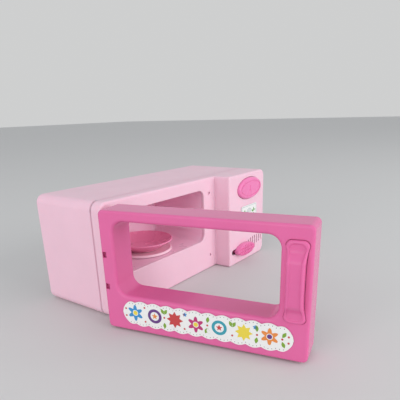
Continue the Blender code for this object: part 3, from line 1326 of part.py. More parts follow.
def make_door_back(hinge):
    """Plate that closes the door's back, with two pips that seat in the case's dimples."""
    front = DOOR_BACK_Y - BACK_THICKNESS
    plate = slab("door_back", door_outline(DOOR_WALL + GAP), front, DOOR_BACK_Y, "Y")
    cut(plate, slab("plate_window", window_outline(REVEAL_WALL + GAP), front - OVERRUN, DOOR_BACK_Y + OVERRUN, "Y"),
        hinge_notch("plate_notch", WINDOW_LEFT))
    for level in PIP_LEVELS:
        join(plate, rod("pip", (LEFT + PIP_FROM_HINGE, level), PIP_RADIUS, DOOR_BACK_Y - GAP,
                        DOOR_BACK_Y + PIP_HEIGHT, "Y", 12))
    head_floor = DOOR_BACK_Y - SMALL_SCREW[1] - GAP
    for place in DOOR_SCREW_PLACES:
        centre = (LEFT + place[0], place[1])
        cut(plate, rod("back_hole", centre, SMALL_SCREW[2] + GAP, front - OVERRUN, head_floor + GAP, "Y", 12),
            rod("back_recess", centre, SMALL_SCREW[0] + GAP, head_floor, DOOR_BACK_Y + OVERRUN, "Y", 16))
    carry(hinge, finish(settled("door_back", plate), HOT_PINK))
    for number, place in enumerate(DOOR_SCREW_PLACES, 1):
        screw = make_screw(f"door_screw_{number}", SMALL_SCREW, (LEFT + place[0], place[1]), head_floor + GAP,
                           "forward")
        carry(hinge, screw)


def make_handle(hinge):
    """Handle bar with two pegs, seated in a shallow pocket of the door's front."""
    front = DOOR_FRONT_Y - HANDLE_RISE
    base = DOOR_FRONT_Y + HANDLE_POCKET - GAP
    side = slab("door_handle", handle_profile(), LEFT + HANDLE_LEFT - OVERRUN,
                LEFT + HANDLE_LEFT + HANDLE_WIDTH + OVERRUN, "X")
    combine(side, slab("handle_front", handle_outline(0), front - OVERRUN, base + OVERRUN, "Y"), 'INTERSECT')
    bar = round_edges(side, HANDLE_ROUND, lambda at: at.y < base - WELD, 2)
    for place in peg_places():
        join(bar, rod("handle_peg", place, HANDLE_PAD, base - GAP, DOOR_FRONT_Y + DOOR_WALL + HANDLE_POCKET, "Y", 12))
    carry(hinge, finish(settled("door_handle", bar), HOT_PINK))


def make_prints(hinge):
    """The picture band on the door and the picture label on the control box, as thin plates."""
    rear = DOOR_FRONT_Y - GAP
    low = (LEFT + BAND_LEFT, BAND_MIDDLE - BAND_HEIGHT / 2)
    high = (LEFT + BAND_LEFT + BAND_LENGTH, BAND_MIDDLE + BAND_HEIGHT / 2)
    band = slab("door_band", rounded_outline(low, high, BAND_CORNER), rear - BAND_THICKNESS, rear, "Y")
    carry(hinge, finish(band, WHITE_PLASTIC))
    low = (BUTTON_X - LABEL_WIDTH / 2, LABEL_TOP - LABEL_HEIGHT)
    high = (BUTTON_X + LABEL_WIDTH / 2, LABEL_TOP)
    rear = CONTROL_Y - GAP
    label = slab("panel_label", rounded_outline(low, high, LABEL_CORNER), rear - LABEL_THICKNESS, rear, "Y")
    finish(label, WHITE_PLASTIC)


def make_hinge_pin():
    """Steel pin through the arms and the eyes."""
    low_arm, high_arm = arm_levels()
    reach = ARM_HEIGHT / 2 + PIN_OVERHANG
    finish(rod("hinge_pin", (HINGE_X, HINGE_Y), PIN_RADIUS, low_arm - reach, high_arm + reach, steps=12), STEEL)


make_front_panel()
make_rear_case()
make_case_screws()
make_oven_chamber()
make_lamp()
make_battery_tray()
make_cells()
make_battery_cover()
make_board()
make_slide_switch()
make_speaker()
make_hinge_pin()

table_axle = joint_empty("turntable_axle", (PLATE_X, PLATE_Y, TABLE_TOP))
make_turntable(table_axle)
make_idler(joint_empty("idler_axle", (*idler_centre(), IDLER_WHEEL_LEVEL)))
make_motor(joint_empty("motor_axle", (*motor_centre(), IDLER_WHEEL_LEVEL)))
make_dish(joint_empty("dish_lift", (PLATE_X, PLATE_Y, TABLE_TOP + GAP)))
make_button(joint_empty("button_slide", (BUTTON_X, CONTROL_Y - BUTTON_PROUD, BUTTON_LEVEL)))
make_knob(joint_empty("knob_slide", (KNOB_X, CONTROL_Y - KNOB_PROUD, KNOB_LEVEL)))

door_hinge = joint_empty("door_hinge", (HINGE_X, HINGE_Y, HINGE_MIDDLE))
make_door_frame(door_hinge)
make_door_back(door_hinge)
make_handle(door_hinge)
make_prints(door_hinge)
door_hinge.rotation_euler.z = -DOOR_OPEN_ANGLE
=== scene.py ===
"""A toy microwave oven of moulded pink plastic, dressed piece by piece in the order it is put together."""
import json
from math import cos, pi, radians, sin, sqrt

import bmesh
import bpy
from mathutils import Matrix, Vector


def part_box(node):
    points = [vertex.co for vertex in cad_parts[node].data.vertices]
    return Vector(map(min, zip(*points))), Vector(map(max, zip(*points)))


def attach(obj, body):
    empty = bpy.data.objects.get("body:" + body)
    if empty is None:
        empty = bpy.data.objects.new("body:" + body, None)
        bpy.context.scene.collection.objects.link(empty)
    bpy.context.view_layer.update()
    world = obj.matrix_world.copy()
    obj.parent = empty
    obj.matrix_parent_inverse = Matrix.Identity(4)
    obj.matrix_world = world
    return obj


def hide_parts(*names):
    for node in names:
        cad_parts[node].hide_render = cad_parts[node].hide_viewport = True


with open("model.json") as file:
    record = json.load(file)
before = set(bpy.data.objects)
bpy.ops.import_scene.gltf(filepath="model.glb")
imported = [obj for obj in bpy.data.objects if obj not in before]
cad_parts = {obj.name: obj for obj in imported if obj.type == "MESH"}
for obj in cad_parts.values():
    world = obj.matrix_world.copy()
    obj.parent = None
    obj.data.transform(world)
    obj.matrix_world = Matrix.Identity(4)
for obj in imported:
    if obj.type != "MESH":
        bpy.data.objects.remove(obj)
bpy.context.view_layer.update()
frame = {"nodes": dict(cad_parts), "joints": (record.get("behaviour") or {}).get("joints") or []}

# Rear case
# One deep moulding in pale pink: back, sides, top and the flat base. Five long screws sunk in its back
# pull it against the front panel, and the battery cover lies in the opening of its base.
seam_gap = 0.0003
case_low, case_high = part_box("rear_case")
case_wall = 0.002
case_corner = 0.006
case_back_round = 0.003
case_lip_round = 0.0004
overrun = 0.004
weld = 0.000002
flat_angle = radians(0.5)
edge_angle = radians(40)
TURNED_TO = {
    "X": Matrix(((0, 0, 1, 0), (1, 0, 0, 0), (0, 1, 0, 0), (0, 0, 0, 1))),
    "Y": Matrix(((1, 0, 0, 0), (0, 0, -1, 0), (0, 1, 0, 0), (0, 0, 0, 1))),
    "Z": Matrix.Identity(4),
}


def rounded_frame(low, high, radius, steps=10):
    """The outline of a rectangle with round corners, as a list of points."""
    centres = ((high[0] - radius, high[1] - radius), (low[0] + radius, high[1] - radius),
               (low[0] + radius, low[1] + radius), (high[0] - radius, low[1] + radius))
    outline = []
    for corner, (u, v) in enumerate(centres):
        for step in range(steps + 1):
            angle = radians(90) * (corner + step / steps)
            outline.append((u + radius * cos(angle), v + radius * sin(angle)))
    return outline


def ellipse(middle, length, height, steps=72):
    turns = [2 * pi * step / steps for step in range(steps)]
    return [(middle[0] + length / 2 * cos(turn), middle[1] + height / 2 * sin(turn))
            for turn in turns]


def ring(middle, radius, steps=48):
    return ellipse(middle, 2 * radius, 2 * radius, steps)


def made(name, work, mesh=None):
    """Ends the work on a mesh and gives it an object of its own."""
    mesh = mesh or bpy.data.meshes.new(name)
    work.to_mesh(mesh)
    work.free()
    mesh.name = name
    piece = bpy.data.objects.new(name, mesh)
    bpy.context.scene.collection.objects.link(piece)
    return piece


def as_plain_mesh(piece):
    """Takes what the piece's modifiers or curve make as a closed mesh of its own."""
    graph = bpy.context.evaluated_depsgraph_get()
    mesh = bpy.data.meshes.new_from_object(piece.evaluated_get(graph))
    mesh.transform(piece.matrix_world)
    name = piece.name
    bpy.data.objects.remove(piece, do_unlink=True)
    work = bmesh.new()
    work.from_mesh(mesh)
    bmesh.ops.remove_doubles(work, verts=work.verts, dist=weld)
    bmesh.ops.recalc_face_normals(work, faces=work.faces)
    return made(name, work, mesh)


def pressed(name, outlines, low, high, facing="Y"):
    """Flat outlines given a thickness from low to high; an outline inside another is a hole in it."""
    curve = bpy.data.curves.new(name, 'CURVE')
    curve.dimensions = '2D'
    curve.fill_mode = 'BOTH'
    curve.extrude = (high - low) / 2
    curve.resolution_u = 1
    for outline in outlines:
        spline = curve.splines.new('POLY')
        spline.points.add(len(outline) - 1)
        for point, (u, v) in zip(spline.points, outline):
            point.co = (u, v, 0, 1)
        spline.use_cyclic_u = True
    holder = bpy.data.objects.new(name, curve)
    bpy.context.scene.collection.objects.link(holder)
    middle = (low + high) / 2
    piece = as_plain_mesh(holder)
    piece.data.transform(TURNED_TO[facing] @ Matrix.Translation((0, 0, -middle if facing == "Y" else middle)))
    return piece


def rod(place, radius, low, high, facing="Y", steps=48):
    """A round post, or the tool for a wide round bore."""
    return pressed("rod", [ring(place, radius, steps)], low, high, facing)


def thin_rod(place, radius, low, high, facing="Y"):
    """A thinner rod, mostly the tool for a hole."""
    return rod(place, radius, low, high, facing, 24)


def block(name, low, high):
    """A plain block between two corners."""
    work = bmesh.new()
    size = [top - bottom for bottom, top in zip(low, high)]
    middle = [(top + bottom) / 2 for bottom, top in zip(low, high)]
    bmesh.ops.create_cube(work, size=1, matrix=Matrix.Translation(middle) @ Matrix.Diagonal((*size, 1)))
    return made(name, work)


def worked(piece, tools, operation='DIFFERENCE'):
    """The piece with each tool cut out of it, joined to it, or with only what both share kept."""
    for tool in tools:
        change = piece.modifiers.new(tool.name, 'BOOLEAN')
        change.operation = operation
        change.object = tool
    piece = as_plain_mesh(piece)
    for tool in tools:
        bpy.data.objects.remove(tool, do_unlink=True)
    return piece


def eased(piece, width, share, segments=4, clamped=True):
    """Rounds outward edges, each by the share of the width that its middle is given."""
    layer_name = "bevel_weight_edge"
    if layer_name not in piece.data.attributes:
        piece.data.attributes.new(layer_name, 'FLOAT', 'EDGE')
    work = bmesh.new()
    work.from_mesh(piece.data)
    bmesh.ops.dissolve_limit(work, angle_limit=flat_angle, verts=work.verts, edges=work.edges)
    layer = work.edges.layers.float.get(layer_name)
    for edge in work.edges:
        outward = len(edge.link_faces) == 2 and edge.calc_face_angle_signed(0) > edge_angle
        edge[layer] = float(outward and share((edge.verts[0].co + edge.verts[1].co) / 2))
    work.to_mesh(piece.data)
    work.free()
    bevel = piece.modifiers.new("easing", 'BEVEL')
    bevel.limit_method = 'WEIGHT'
    bevel.width = width
    bevel.segments = segments
    bevel.use_clamp_overlap = clamped
    bevel.loop_slide = clamped
    return as_plain_mesh(piece)


def smoothed(piece, angle=40):
    """Shades the piece smooth, with flat faces kept flat and edges past the angle kept sharp."""
    piece.data.shade_smooth()
    piece.data.set_sharp_from_angle(angle=radians(angle))
    normals = piece.modifiers.new("flat_faces", 'WEIGHTED_NORMAL')
    normals.keep_sharp = True
    normals.weight = 100
    return piece


def set_up(tree, node, **inputs):
    """Gives a node's inputs, by name or as n0 and n1 by number, a value or another node's output."""
    for name, value in inputs.items():
        socket = node.inputs[int(name[1:]) if name.startswith("n") else name.replace("_", " ")]
        if isinstance(value, bpy.types.NodeSocket):
            tree.links.new(value, socket)
        else:
            socket.default_value = value
    return node


def wired(tree, kind, settings=(), **inputs):
    """Adds a shader node, with its settings and its inputs."""
    node = tree.nodes.new(kind)
    for name, value in dict(settings).items():
        setattr(node, name, value)
    return set_up(tree, node, **inputs)


def new_finish(name):
    """A new material with its nodes, its shader and the place on the piece."""
    material = bpy.data.materials.new(name)
    material.use_nodes = True
    tree = material.node_tree
    return material, tree, tree.nodes["Principled BSDF"], wired(tree, "ShaderNodeTexCoord").outputs["Object"]


def shaded(tree, amount, dark, light, band=(0, 1)):
    """A colour between a dark and a light one, as an amount passes through a band."""
    ramp = wired(tree, "ShaderNodeValToRGB", Fac=amount)
    for stop, position, colour in zip(ramp.color_ramp.elements, band, (dark, light)):
        stop.position = position
        stop.color = (*colour, 1)
    return ramp.outputs["Color"]


def darker(colour, share):
    return [min(1, value * (1 - share)) for value in colour]


pigment_clouds = 38.0
handling_marks = 90.0
mould_waves = 22.0
wave_strength = 0.25
noise_band = (0.3, 0.7)
polish_spread = 0.03
pink_bleed = (1.0, 0.45, 0.5)
bleed_depth = 0.002


def moulded_plastic(name, colour, roughness=0.34, grain=0.00005, depth=0.03, glow=0.0,
                    clearness=0.0):
    """Coloured plastic from a mould: slight clouds in the pigment, faint waves and soft gloss."""
    material, tree, shader, place = new_finish(name)
    clouds = wired(tree, "ShaderNodeTexNoise", Vector=place, Scale=pigment_clouds, Detail=3.0, Roughness=0.6)
    tint = shaded(tree, clouds.outputs["Fac"], darker(colour, depth), darker(colour, -depth / 2), noise_band)
    handling = wired(tree, "ShaderNodeTexNoise", Vector=place, Scale=handling_marks, Detail=2.0,
                     Roughness=0.5)
    polish = wired(tree, "ShaderNodeMapRange", Value=handling.outputs["Fac"], From_Min=noise_band[0],
                   From_Max=noise_band[1], To_Min=roughness - polish_spread, To_Max=roughness + polish_spread)
    waves = wired(tree, "ShaderNodeTexNoise", Vector=place, Scale=mould_waves, Detail=1.0, Roughness=0.4)
    bump = wired(tree, "ShaderNodeBump", Height=waves.outputs["Fac"], Distance=grain, Strength=wave_strength)
    set_up(tree, shader, Base_Color=tint, Roughness=polish.outputs["Result"], Normal=bump.outputs["Normal"],
           IOR=1.5, Transmission_Weight=clearness, Subsurface_Weight=glow, Subsurface_Radius=pink_bleed,
           Subsurface_Scale=bleed_depth)
    return material


def set_in(piece, body, slot, material, *nodes):
    """Gives a piece its material, its body and the nodes that it stands for; the slot is not used."""
    piece.data.materials.clear()
    piece.data.materials.append(material)
    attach(piece, body)
    if nodes:
        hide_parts(*nodes)
    return piece


def front_middle(low, high):
    """The middle of a box as the front shows it."""
    return ((low.x + high.x) / 2, (low.z + high.z) / 2)


def front_frame(low, high, corner, inset=0):
    """The outline of a box as the front shows it, drawn in by the inset."""
    return rounded_frame((low.x + inset, low.z + inset), (high.x - inset, high.z - inset), corner - inset)


def case_frame(inset=0):
    return front_frame(case_low, case_high, case_corner, inset)


shell_pink = moulded_plastic("shell_pink_plastic", (0.86, 0.555, 0.665), roughness=0.33, glow=0.12)

screw_count = 5
screw_boxes = [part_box(f"case_screw_{number}") for number in range(1, screw_count + 1)]
screw_places = [front_middle(low, high) for low, high in screw_boxes]
screw_heads = [high.y for low, high in screw_boxes]
case_post_radius = 0.0037
case_screw_hole = 0.0014
case_head_bore = 0.0028
head_height = 0.0016
post_floor = 0.0025
socket_wall = 0.0015
socket_heights = (("turntable_spindle", 0.004), ("idler_pin", 0.0055))
strap_post_radius = 0.0026
strap_screw_hole = 0.0011

rear_case = pressed("rear_case_shell", [case_frame()], case_low.y, case_high.y)
rear_case = eased(rear_case, case_back_round, lambda at: at.y > case_high.y - weld)
hollow = pressed("hollow", [case_frame(case_wall)], case_low.y - overrun, case_high.y - case_wall)
rear_case = worked(rear_case, [hollow])
rear_case = eased(rear_case, case_lip_round, lambda at: at.y < case_low.y + weld, 2)
posts = []
bores = []
for place, head in zip(screw_places, screw_heads):
    seat = head - head_height - seam_gap
    posts.append(rod(place, case_post_radius, seat - post_floor, case_high.y - case_wall / 2))
    bores.append(thin_rod(place, case_screw_hole, seat - post_floor - overrun, case_high.y))
    bores.append(rod(place, case_head_bore, seat, case_high.y + overrun))
for node, height in socket_heights:
    pin_low, pin_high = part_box(node)
    pin_middle = (pin_low + pin_high) / 2
    bore_radius = (pin_high.x - pin_low.x) / 2 + seam_gap
    posts.append(rod(pin_middle, bore_radius + socket_wall, case_wall / 2, case_wall + height, "Z"))
    bores.append(thin_rod(pin_middle, bore_radius, case_wall, case_wall + height + overrun, "Z"))
strap_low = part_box("motor_strap")[0].z
for number in (1, 2):
    pin_low, pin_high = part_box(f"motor_screw_{number}")
    pin_middle = (pin_low + pin_high) / 2
    posts.append(rod(pin_middle, strap_post_radius, case_wall / 2, strap_low - seam_gap, "Z"))
    bores.append(thin_rod(pin_middle, strap_screw_hole, 2 * case_wall, strap_low + overrun, "Z"))
rear_case = worked(rear_case, posts, 'UNION')
cover_low, cover_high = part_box("battery_cover")
cover_corner = 0.002
cover_ear_reach = 0.008
cover_ear_width = 0.009


def cover_shape(name, grow, low, high):
    """The battery cover's plate with the ear for its screw, grown for the opening that takes it."""
    left = cover_low.x + cover_ear_reach
    outline = rounded_frame((left - grow, cover_low.y - grow), (cover_high.x + grow, cover_high.y + grow),
                            cover_corner)
    middle = (cover_low.y + cover_high.y) / 2
    half = cover_ear_width / 2 + grow
    ear = rounded_frame((cover_low.x - grow, middle - half), (left + cover_corner, middle + half),
                        cover_corner / 2)
    plate = pressed(name, [outline], low, high, "Z")
    ear = pressed("ear", [ear], low, high, "Z")
    return worked(plate, [ear], 'UNION')


bores.append(cover_shape("cover_opening", seam_gap, -overrun, case_wall + overrun / 2))
rear_case = worked(rear_case, bores)
set_in(smoothed(rear_case), "case", "shell_pink", shell_pink, "rear_case")

# Front panel
# One moulding with the recessed face around the mouth and, 14 mm in front of it, the control box.
# Two arms beside the mouth hold the hinge pin; the rear case's screws end in bosses behind it.
panel_low, panel_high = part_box("front_panel")
chamber_low, chamber_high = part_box("oven_chamber")
chamber_wall = 0.0015
face_y = chamber_low.y - seam_gap - case_wall
control_y = panel_low.y
control_width = 0.058
control_step_x = panel_high.x - control_width
panel_round = 0.0016
mouth_radius = 0.006
mouth_round = 0.0007
mouth_low = (chamber_low.x + chamber_wall, chamber_low.z + chamber_wall)
mouth_high = (chamber_high.x - chamber_wall, chamber_high.z - chamber_wall)
hinge = next(joint for joint in frame["joints"] if joint["name"] == "door_hinge")
hinge_x, hinge_y, hinge_z = hinge["pos_m"]
hinge_axis = (hinge_x, hinge_y)
pin_radius = 0.001
pin_bore = pin_radius + seam_gap
arm_radius = 0.0026
arm_height = 0.004
arm_offset = 0.0142
arm_round = 0.0004
button_low, button_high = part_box("push_button")
button_middle = front_middle(button_low, button_high)
button_size = (0.0375, 0.018)
slot_height = 0.0047
slot_reach = (-0.0179, 0.0063)
knob_low, knob_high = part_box("slide_knob")
knob_middle = front_middle(knob_low, knob_high)
speaker_low, speaker_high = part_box("speaker_frame")
grille_middle = front_middle(speaker_low, speaker_high)
slit_count = 7
slit_pitch = 0.0037
slit_width = 0.0014
grille_half = (0.0136, 0.0043)
dimple_places = ((0.0236, 0.0119), (0.0236, 0.0634))
boss_radius = 0.0032
boss_depth = (0.003, 0.009)
standoff_radius = 0.0021
standoff_reaches = {"board_screw": 0.008, "switch_screw": 0.004}
small_screw_hole = 0.0011
speaker_rim = 0.001
speaker_seat = 0.0022
dimple_radius = 0.0013
dimple_depth = 0.0012


def arc(centre, radius, first, last, steps=8):
    """Points of a round stretch between two angles in degrees."""
    turns = [radians(first + (last - first) * step / steps) for step in range(steps + 1)]
    return [(centre[0] + radius * cos(turn), centre[1] + radius * sin(turn)) for turn in turns]


def oval(middle, length, height, steps=14):
    """The outline of a bar with fully round ends."""
    half_length, half_height = length / 2, height / 2
    return rounded_frame((middle[0] - half_length, middle[1] - half_height),
                         (middle[0] + half_length, middle[1] + half_height), half_height - weld * 2, steps)


def spread(middle, pitch, count):
    """Evenly spaced places about a middle."""
    return [middle + (number - (count - 1) / 2) * pitch for number in range(count)]


def cut_through(face, *outlines):
    """The tool that cuts outlines through a front wall."""
    return pressed("cut", outlines, face - overrun, face + overrun)


def stepped_plan(inset, rear, low, high):
    """The panel seen from above, recessed on the left and standing forward on the right."""
    left, right = panel_low.x + inset, panel_high.x - inset
    plan = ((left, rear), (left, face_y + inset), (control_step_x + inset, face_y + inset),
            (control_step_x + inset, control_y + inset), (right, control_y + inset), (right, rear))
    return pressed("front_panel_shell", [plan], low, high, "Z")


front_panel = stepped_plan(0, panel_high.y, 0, panel_high.z)
corners = pressed("corners", [case_frame()], control_y - overrun, panel_high.y + overrun)
front_panel = worked(front_panel, [corners], 'INTERSECT')
mouth = rounded_frame(mouth_low, mouth_high, mouth_radius)
front_panel = worked(front_panel, [cut_through(face_y, mouth)])
inside_mouth = (mouth_low[0] - weld, mouth_high[0] + weld)


def panel_share(at):
    """Full rounding along the outer front edges, a smaller one around the mouth and none behind."""
    if at.y > face_y + weld:
        return 0
    at_mouth = inside_mouth[0] < at.x < inside_mouth[1] and mouth_low[1] - weld < at.z < mouth_high[1] + weld
    return mouth_round / panel_round if at_mouth else 1


front_panel = eased(front_panel, panel_round, panel_share)
inner = pressed("inner", [case_frame(case_wall)], control_y, panel_high.y + 2 * overrun)
hollow = worked(stepped_plan(case_wall, panel_high.y + overrun, case_wall, panel_high.z - case_wall),
                [inner], 'INTERSECT')
front_panel = worked(front_panel, [hollow])
posts = []
slot_middle = (knob_middle[0] + (slot_reach[0] + slot_reach[1]) / 2, knob_middle[1])
bores = [cut_through(face_y, mouth),
         cut_through(control_y, ellipse(button_middle, *[size + 2 * seam_gap for size in button_size])),
         cut_through(control_y, oval(slot_middle, slot_reach[1] - slot_reach[0], slot_height))]
for offset in spread(0, slit_pitch, slit_count):
    length = 2 * grille_half[1] * sqrt(1 - (offset / grille_half[0]) ** 2)
    slit = [(grille_middle[0] + offset + v, grille_middle[1] + u)
            for u, v in reversed(oval((0, 0), length, slit_width, 6))]
    bores.append(cut_through(control_y, slit))
for place in dimple_places:
    bores.append(thin_rod(place, dimple_radius, face_y - overrun, face_y + dimple_depth))
for place in screw_places:
    front = (control_y if place[0] > control_step_x else face_y) + case_wall / 2
    posts.append(rod(place, boss_radius, front, face_y + boss_depth[1]))
    bores.append(thin_rod(place, case_screw_hole, face_y + boss_depth[0], face_y + boss_depth[1] + overrun))
inner_y = control_y + case_wall
for node, reach in standoff_reaches.items():
    for number in (1, 2):
        place = front_middle(*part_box(f"{node}_{number}"))
        posts.append(rod(place, standoff_radius, inner_y - case_wall / 2, inner_y + reach))
        bores.append(thin_rod(place, small_screw_hole, inner_y + seam_gap, inner_y + reach + overrun))
speaker_radius = (speaker_high.x - speaker_low.x) / 2 + seam_gap
seat = inner_y + speaker_seat
posts.append(rod(grille_middle, speaker_radius + speaker_rim, inner_y - case_wall / 2, seat))
bores.append(rod(grille_middle, speaker_radius, inner_y, seat + overrun))
for level in (hinge_z - arm_offset, hinge_z + arm_offset):
    low, high = level - arm_height / 2, level + arm_height / 2
    arm = [(hinge_x - arm_radius, face_y + case_wall / 2), *arc(hinge_axis, arm_radius, 180, 360, 16),
           (hinge_x + arm_radius, face_y + case_wall / 2)]
    posts.append(eased(pressed("arm", [arm], low, high, "Z"), arm_round, lambda at: at.y < face_y, 2))
    bores.append(thin_rod(hinge_axis, pin_bore, low - overrun / 4, high + overrun / 4, "Z"))
front_panel = worked(front_panel, posts, 'UNION')
front_panel = worked(front_panel, bores)
set_in(smoothed(front_panel), "case", "shell_pink", shell_pink, "front_panel")

# Oven chamber
# A five-sided tray of the same pale plastic, pushed against the mouth from behind, with round inner
# corners, a hole in its floor for the turntable's hub and one in its ceiling for the lamp.
cavity_round = 0.003
hub_radius = 0.0032
lamp_radius = 0.0025
spindle_low, spindle_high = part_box("turntable_spindle")
plate_middle = ((spindle_low.x + spindle_high.x) / 2, (spindle_low.y + spindle_high.y) / 2)
lamp_low, lamp_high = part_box("lamp")
lamp_middle = (plate_middle[0], (lamp_low.y + lamp_high.y) / 2)
# The tray is the shell's plastic, but its colour is painted lighter and pinker: painted light standing in for
# the light that fills the cavity.
chamber_lit_pink = moulded_plastic("chamber_pink_plastic", (0.97, 0.59, 0.745), roughness=0.3, glow=0.12)

tray = front_frame(chamber_low, chamber_high, mouth_radius + chamber_wall)
oven_chamber = pressed("oven_chamber_tray", [tray], chamber_low.y, chamber_high.y)
oven_chamber = eased(oven_chamber, cavity_round + chamber_wall, lambda at: at.y > chamber_high.y - weld)
cavity = pressed("cavity", [mouth], chamber_low.y - overrun, chamber_high.y - chamber_wall)
cavity = eased(cavity, cavity_round, lambda at: at.y > chamber_low.y, 6)
hub_hole = rod(plate_middle, hub_radius + seam_gap, chamber_low.z - overrun, mouth_low[1] + overrun, "Z")
lamp_hole = rod(lamp_middle, lamp_radius + seam_gap, mouth_high[1] - overrun, chamber_high.z + overrun, "Z")
oven_chamber = worked(oven_chamber, [cavity, hub_hole, lamp_hole])
set_in(smoothed(oven_chamber), "case", "pale_pink", chamber_lit_pink, "oven_chamber")

# Lamp
# A small bulb of clear moulded plastic with a round end. It hangs through the hole in the chamber's
# ceiling by the thin flange at its top.
lamp_flange = 0.0029
lamp_flange_height = 0.001


def turned(name, profile, middle, steps=96):
    """Pairs of radius and height, from the axis round to the axis again, spun about an upright axis."""
    work = bmesh.new()
    points = [work.verts.new((radius, 0, height)) for radius, height in profile]
    edges = [work.edges.new(pair) for pair in zip(points, points[1:])]
    bmesh.ops.spin(work, geom=points + edges, axis=(0, 0, 1), cent=(0, 0, 0), angle=2 * pi, steps=steps)
    bmesh.ops.remove_doubles(work, verts=work.verts, dist=weld)
    bmesh.ops.recalc_face_normals(work, faces=work.faces)
    bmesh.ops.translate(work, verts=work.verts, vec=(*middle, 0))
    return made(name, work)


clear_lens = moulded_plastic("clear_lens_plastic", (0.9, 0.86, 0.7), roughness=0.12, depth=0.02,
                             clearness=0.6)
lamp_seat = lamp_high.z - lamp_flange_height
lamp = turned("lamp_bulb", [(0, lamp_high.z), (lamp_flange, lamp_high.z), (lamp_flange, lamp_seat),
                            (lamp_radius, lamp_seat),
                            *arc((0, lamp_low.z + lamp_radius), lamp_radius, 0, -90)], lamp_middle, 48)
set_in(smoothed(lamp), "case", "clear_lens", clear_lens, "lamp")

# Turntable drive
# A small motor under a screwed strap turns a brass pinion, a double gear on a fixed pin and the
# gear on the turntable's spindle; gears, strap and spindle are white acetal, the rest is steel.
rubbing_marks = 900.0
rubbing_depth = 0.00001


def plain_metal(name, colour, roughness, marks=0.08):
    """Bright or plated metal with fine rubbing marks."""
    material, tree, shader, place = new_finish(name)
    rubbed = wired(tree, "ShaderNodeTexNoise", Vector=place, Scale=rubbing_marks, Detail=4.0, Roughness=0.7)
    dull = wired(tree, "ShaderNodeMapRange", Value=rubbed.outputs["Fac"], From_Min=noise_band[0],
                 From_Max=noise_band[1], To_Min=roughness - marks, To_Max=roughness + marks)
    bump = wired(tree, "ShaderNodeBump", Height=rubbed.outputs["Fac"], Distance=rubbing_depth, Strength=0.3)
    set_up(tree, shader, Base_Color=shaded(tree, rubbed.outputs["Fac"], darker(colour, marks), colour),
           Roughness=dull.outputs["Result"], Normal=bump.outputs["Normal"], Metallic=1.0)
    return material


def finished(material, *nodes):
    """Gives CAD nodes that keep their own shape their finish."""
    for node in nodes:
        for place in frame["nodes"][node].material_slots:
            place.material = material


plated_steel = plain_metal("plated_steel", (0.60, 0.59, 0.57), 0.32)
drawn_steel = plain_metal("drawn_steel", (0.52, 0.52, 0.52), 0.42, 0.12)
turned_brass = plain_metal("turned_brass", (0.66, 0.45, 0.17), 0.3)
white_acetal = moulded_plastic("white_acetal", (0.80, 0.80, 0.76), roughness=0.38, depth=0.03)
finished(white_acetal, "turntable_spindle", "spindle_gear", "idler_gear", "motor_strap")
finished(plated_steel, "motor_shaft", "idler_pin", "motor_screw_1", "motor_screw_2")
finished(drawn_steel, "motor_can")
finished(turned_brass, "motor_pinion")

# Turntable
# A disc of pale plastic on the cavity's floor, with a raised round rim. Its hub passes through the
# floor and is pressed on the spindle.
table_low, table_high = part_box("turntable")
table_radius = (table_high.x - table_low.x) / 2
table_rim = 0.0024
table_rim_rise = 0.0006
table_top = table_high.z - table_rim_rise
table_bottom = mouth_low[1] + seam_gap
hub_socket_share = 0.85
spindle_radius = (spindle_high.x - spindle_low.x) / 2
bead = table_rim / 2
socket_top = table_low.z + (table_bottom - table_low.z) * hub_socket_share
bead_level = table_high.z - bead * sin(radians(60))
turntable = turned("turntable_disc", [
    (0, table_top), (table_radius - 3 * bead, table_top),
    *arc((table_radius - bead, bead_level), bead, 120, 0, 10),
    (table_radius, table_bottom + bead / 3), (table_radius - bead / 3, table_bottom),
    (hub_radius, table_bottom), (hub_radius, table_low.z), (spindle_radius + seam_gap, table_low.z),
    (spindle_radius + seam_gap, socket_top), (0, socket_top)], plate_middle, 128)
table_pink = moulded_plastic("table_pink_plastic", (0.92, 0.62, 0.72), roughness=0.2, glow=0.1)
set_in(smoothed(turntable, 50), "turntable", "pale_pink", table_pink, "turntable")

# Dish
# A shallow round dish of hot pink plastic with a round lip. It stands loose on the turntable, on the
# low ring under its foot.
dish_low, dish_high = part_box("dish")
dish_radius = (dish_high.x - dish_low.x) / 2
dish_foot_radius = 0.0122
dish_foot_height = 0.0007
dish_wall = 0.0013
dish_curve_steps = 18
dish_curve = 1.35
dish_base = dish_low.z + dish_foot_height
dish_rim = dish_high.z - dish_wall / 3
outside = []
inside = []
for step in range(dish_curve_steps + 1):
    share = step / dish_curve_steps
    radius = dish_foot_radius + (dish_radius - dish_foot_radius) * share
    height = dish_base + (dish_rim - dish_base) * share ** dish_curve
    outside.append((radius, height))
    inside.append((radius - dish_wall, height + dish_wall * (1 - share)))
lip = arc((dish_radius - dish_wall / 2, dish_rim - dish_wall / 6), dish_wall / 2, 180, 0, 10)
dish = turned("dish_bowl", [(0, dish_base + dish_wall), *inside[:-1], *lip, *reversed(outside[:-1]),
                            (dish_foot_radius, dish_low.z), (dish_foot_radius - dish_wall, dish_low.z),
                            (dish_foot_radius - dish_wall, dish_base), (0, dish_base)], plate_middle, 128)
hot_pink = moulded_plastic("hot_pink_plastic", (0.74, 0.138, 0.35), roughness=0.2, glow=0.06)
# The dish's colour is a lighter copy of the door's hot pink: painted light on the dish inside the cavity.
dish_lit_pink = moulded_plastic("dish_pink_plastic", (0.88, 0.27, 0.46), roughness=0.26, glow=0.1)
set_in(smoothed(dish, 50), "dish", "hot_pink", dish_lit_pink, "dish")

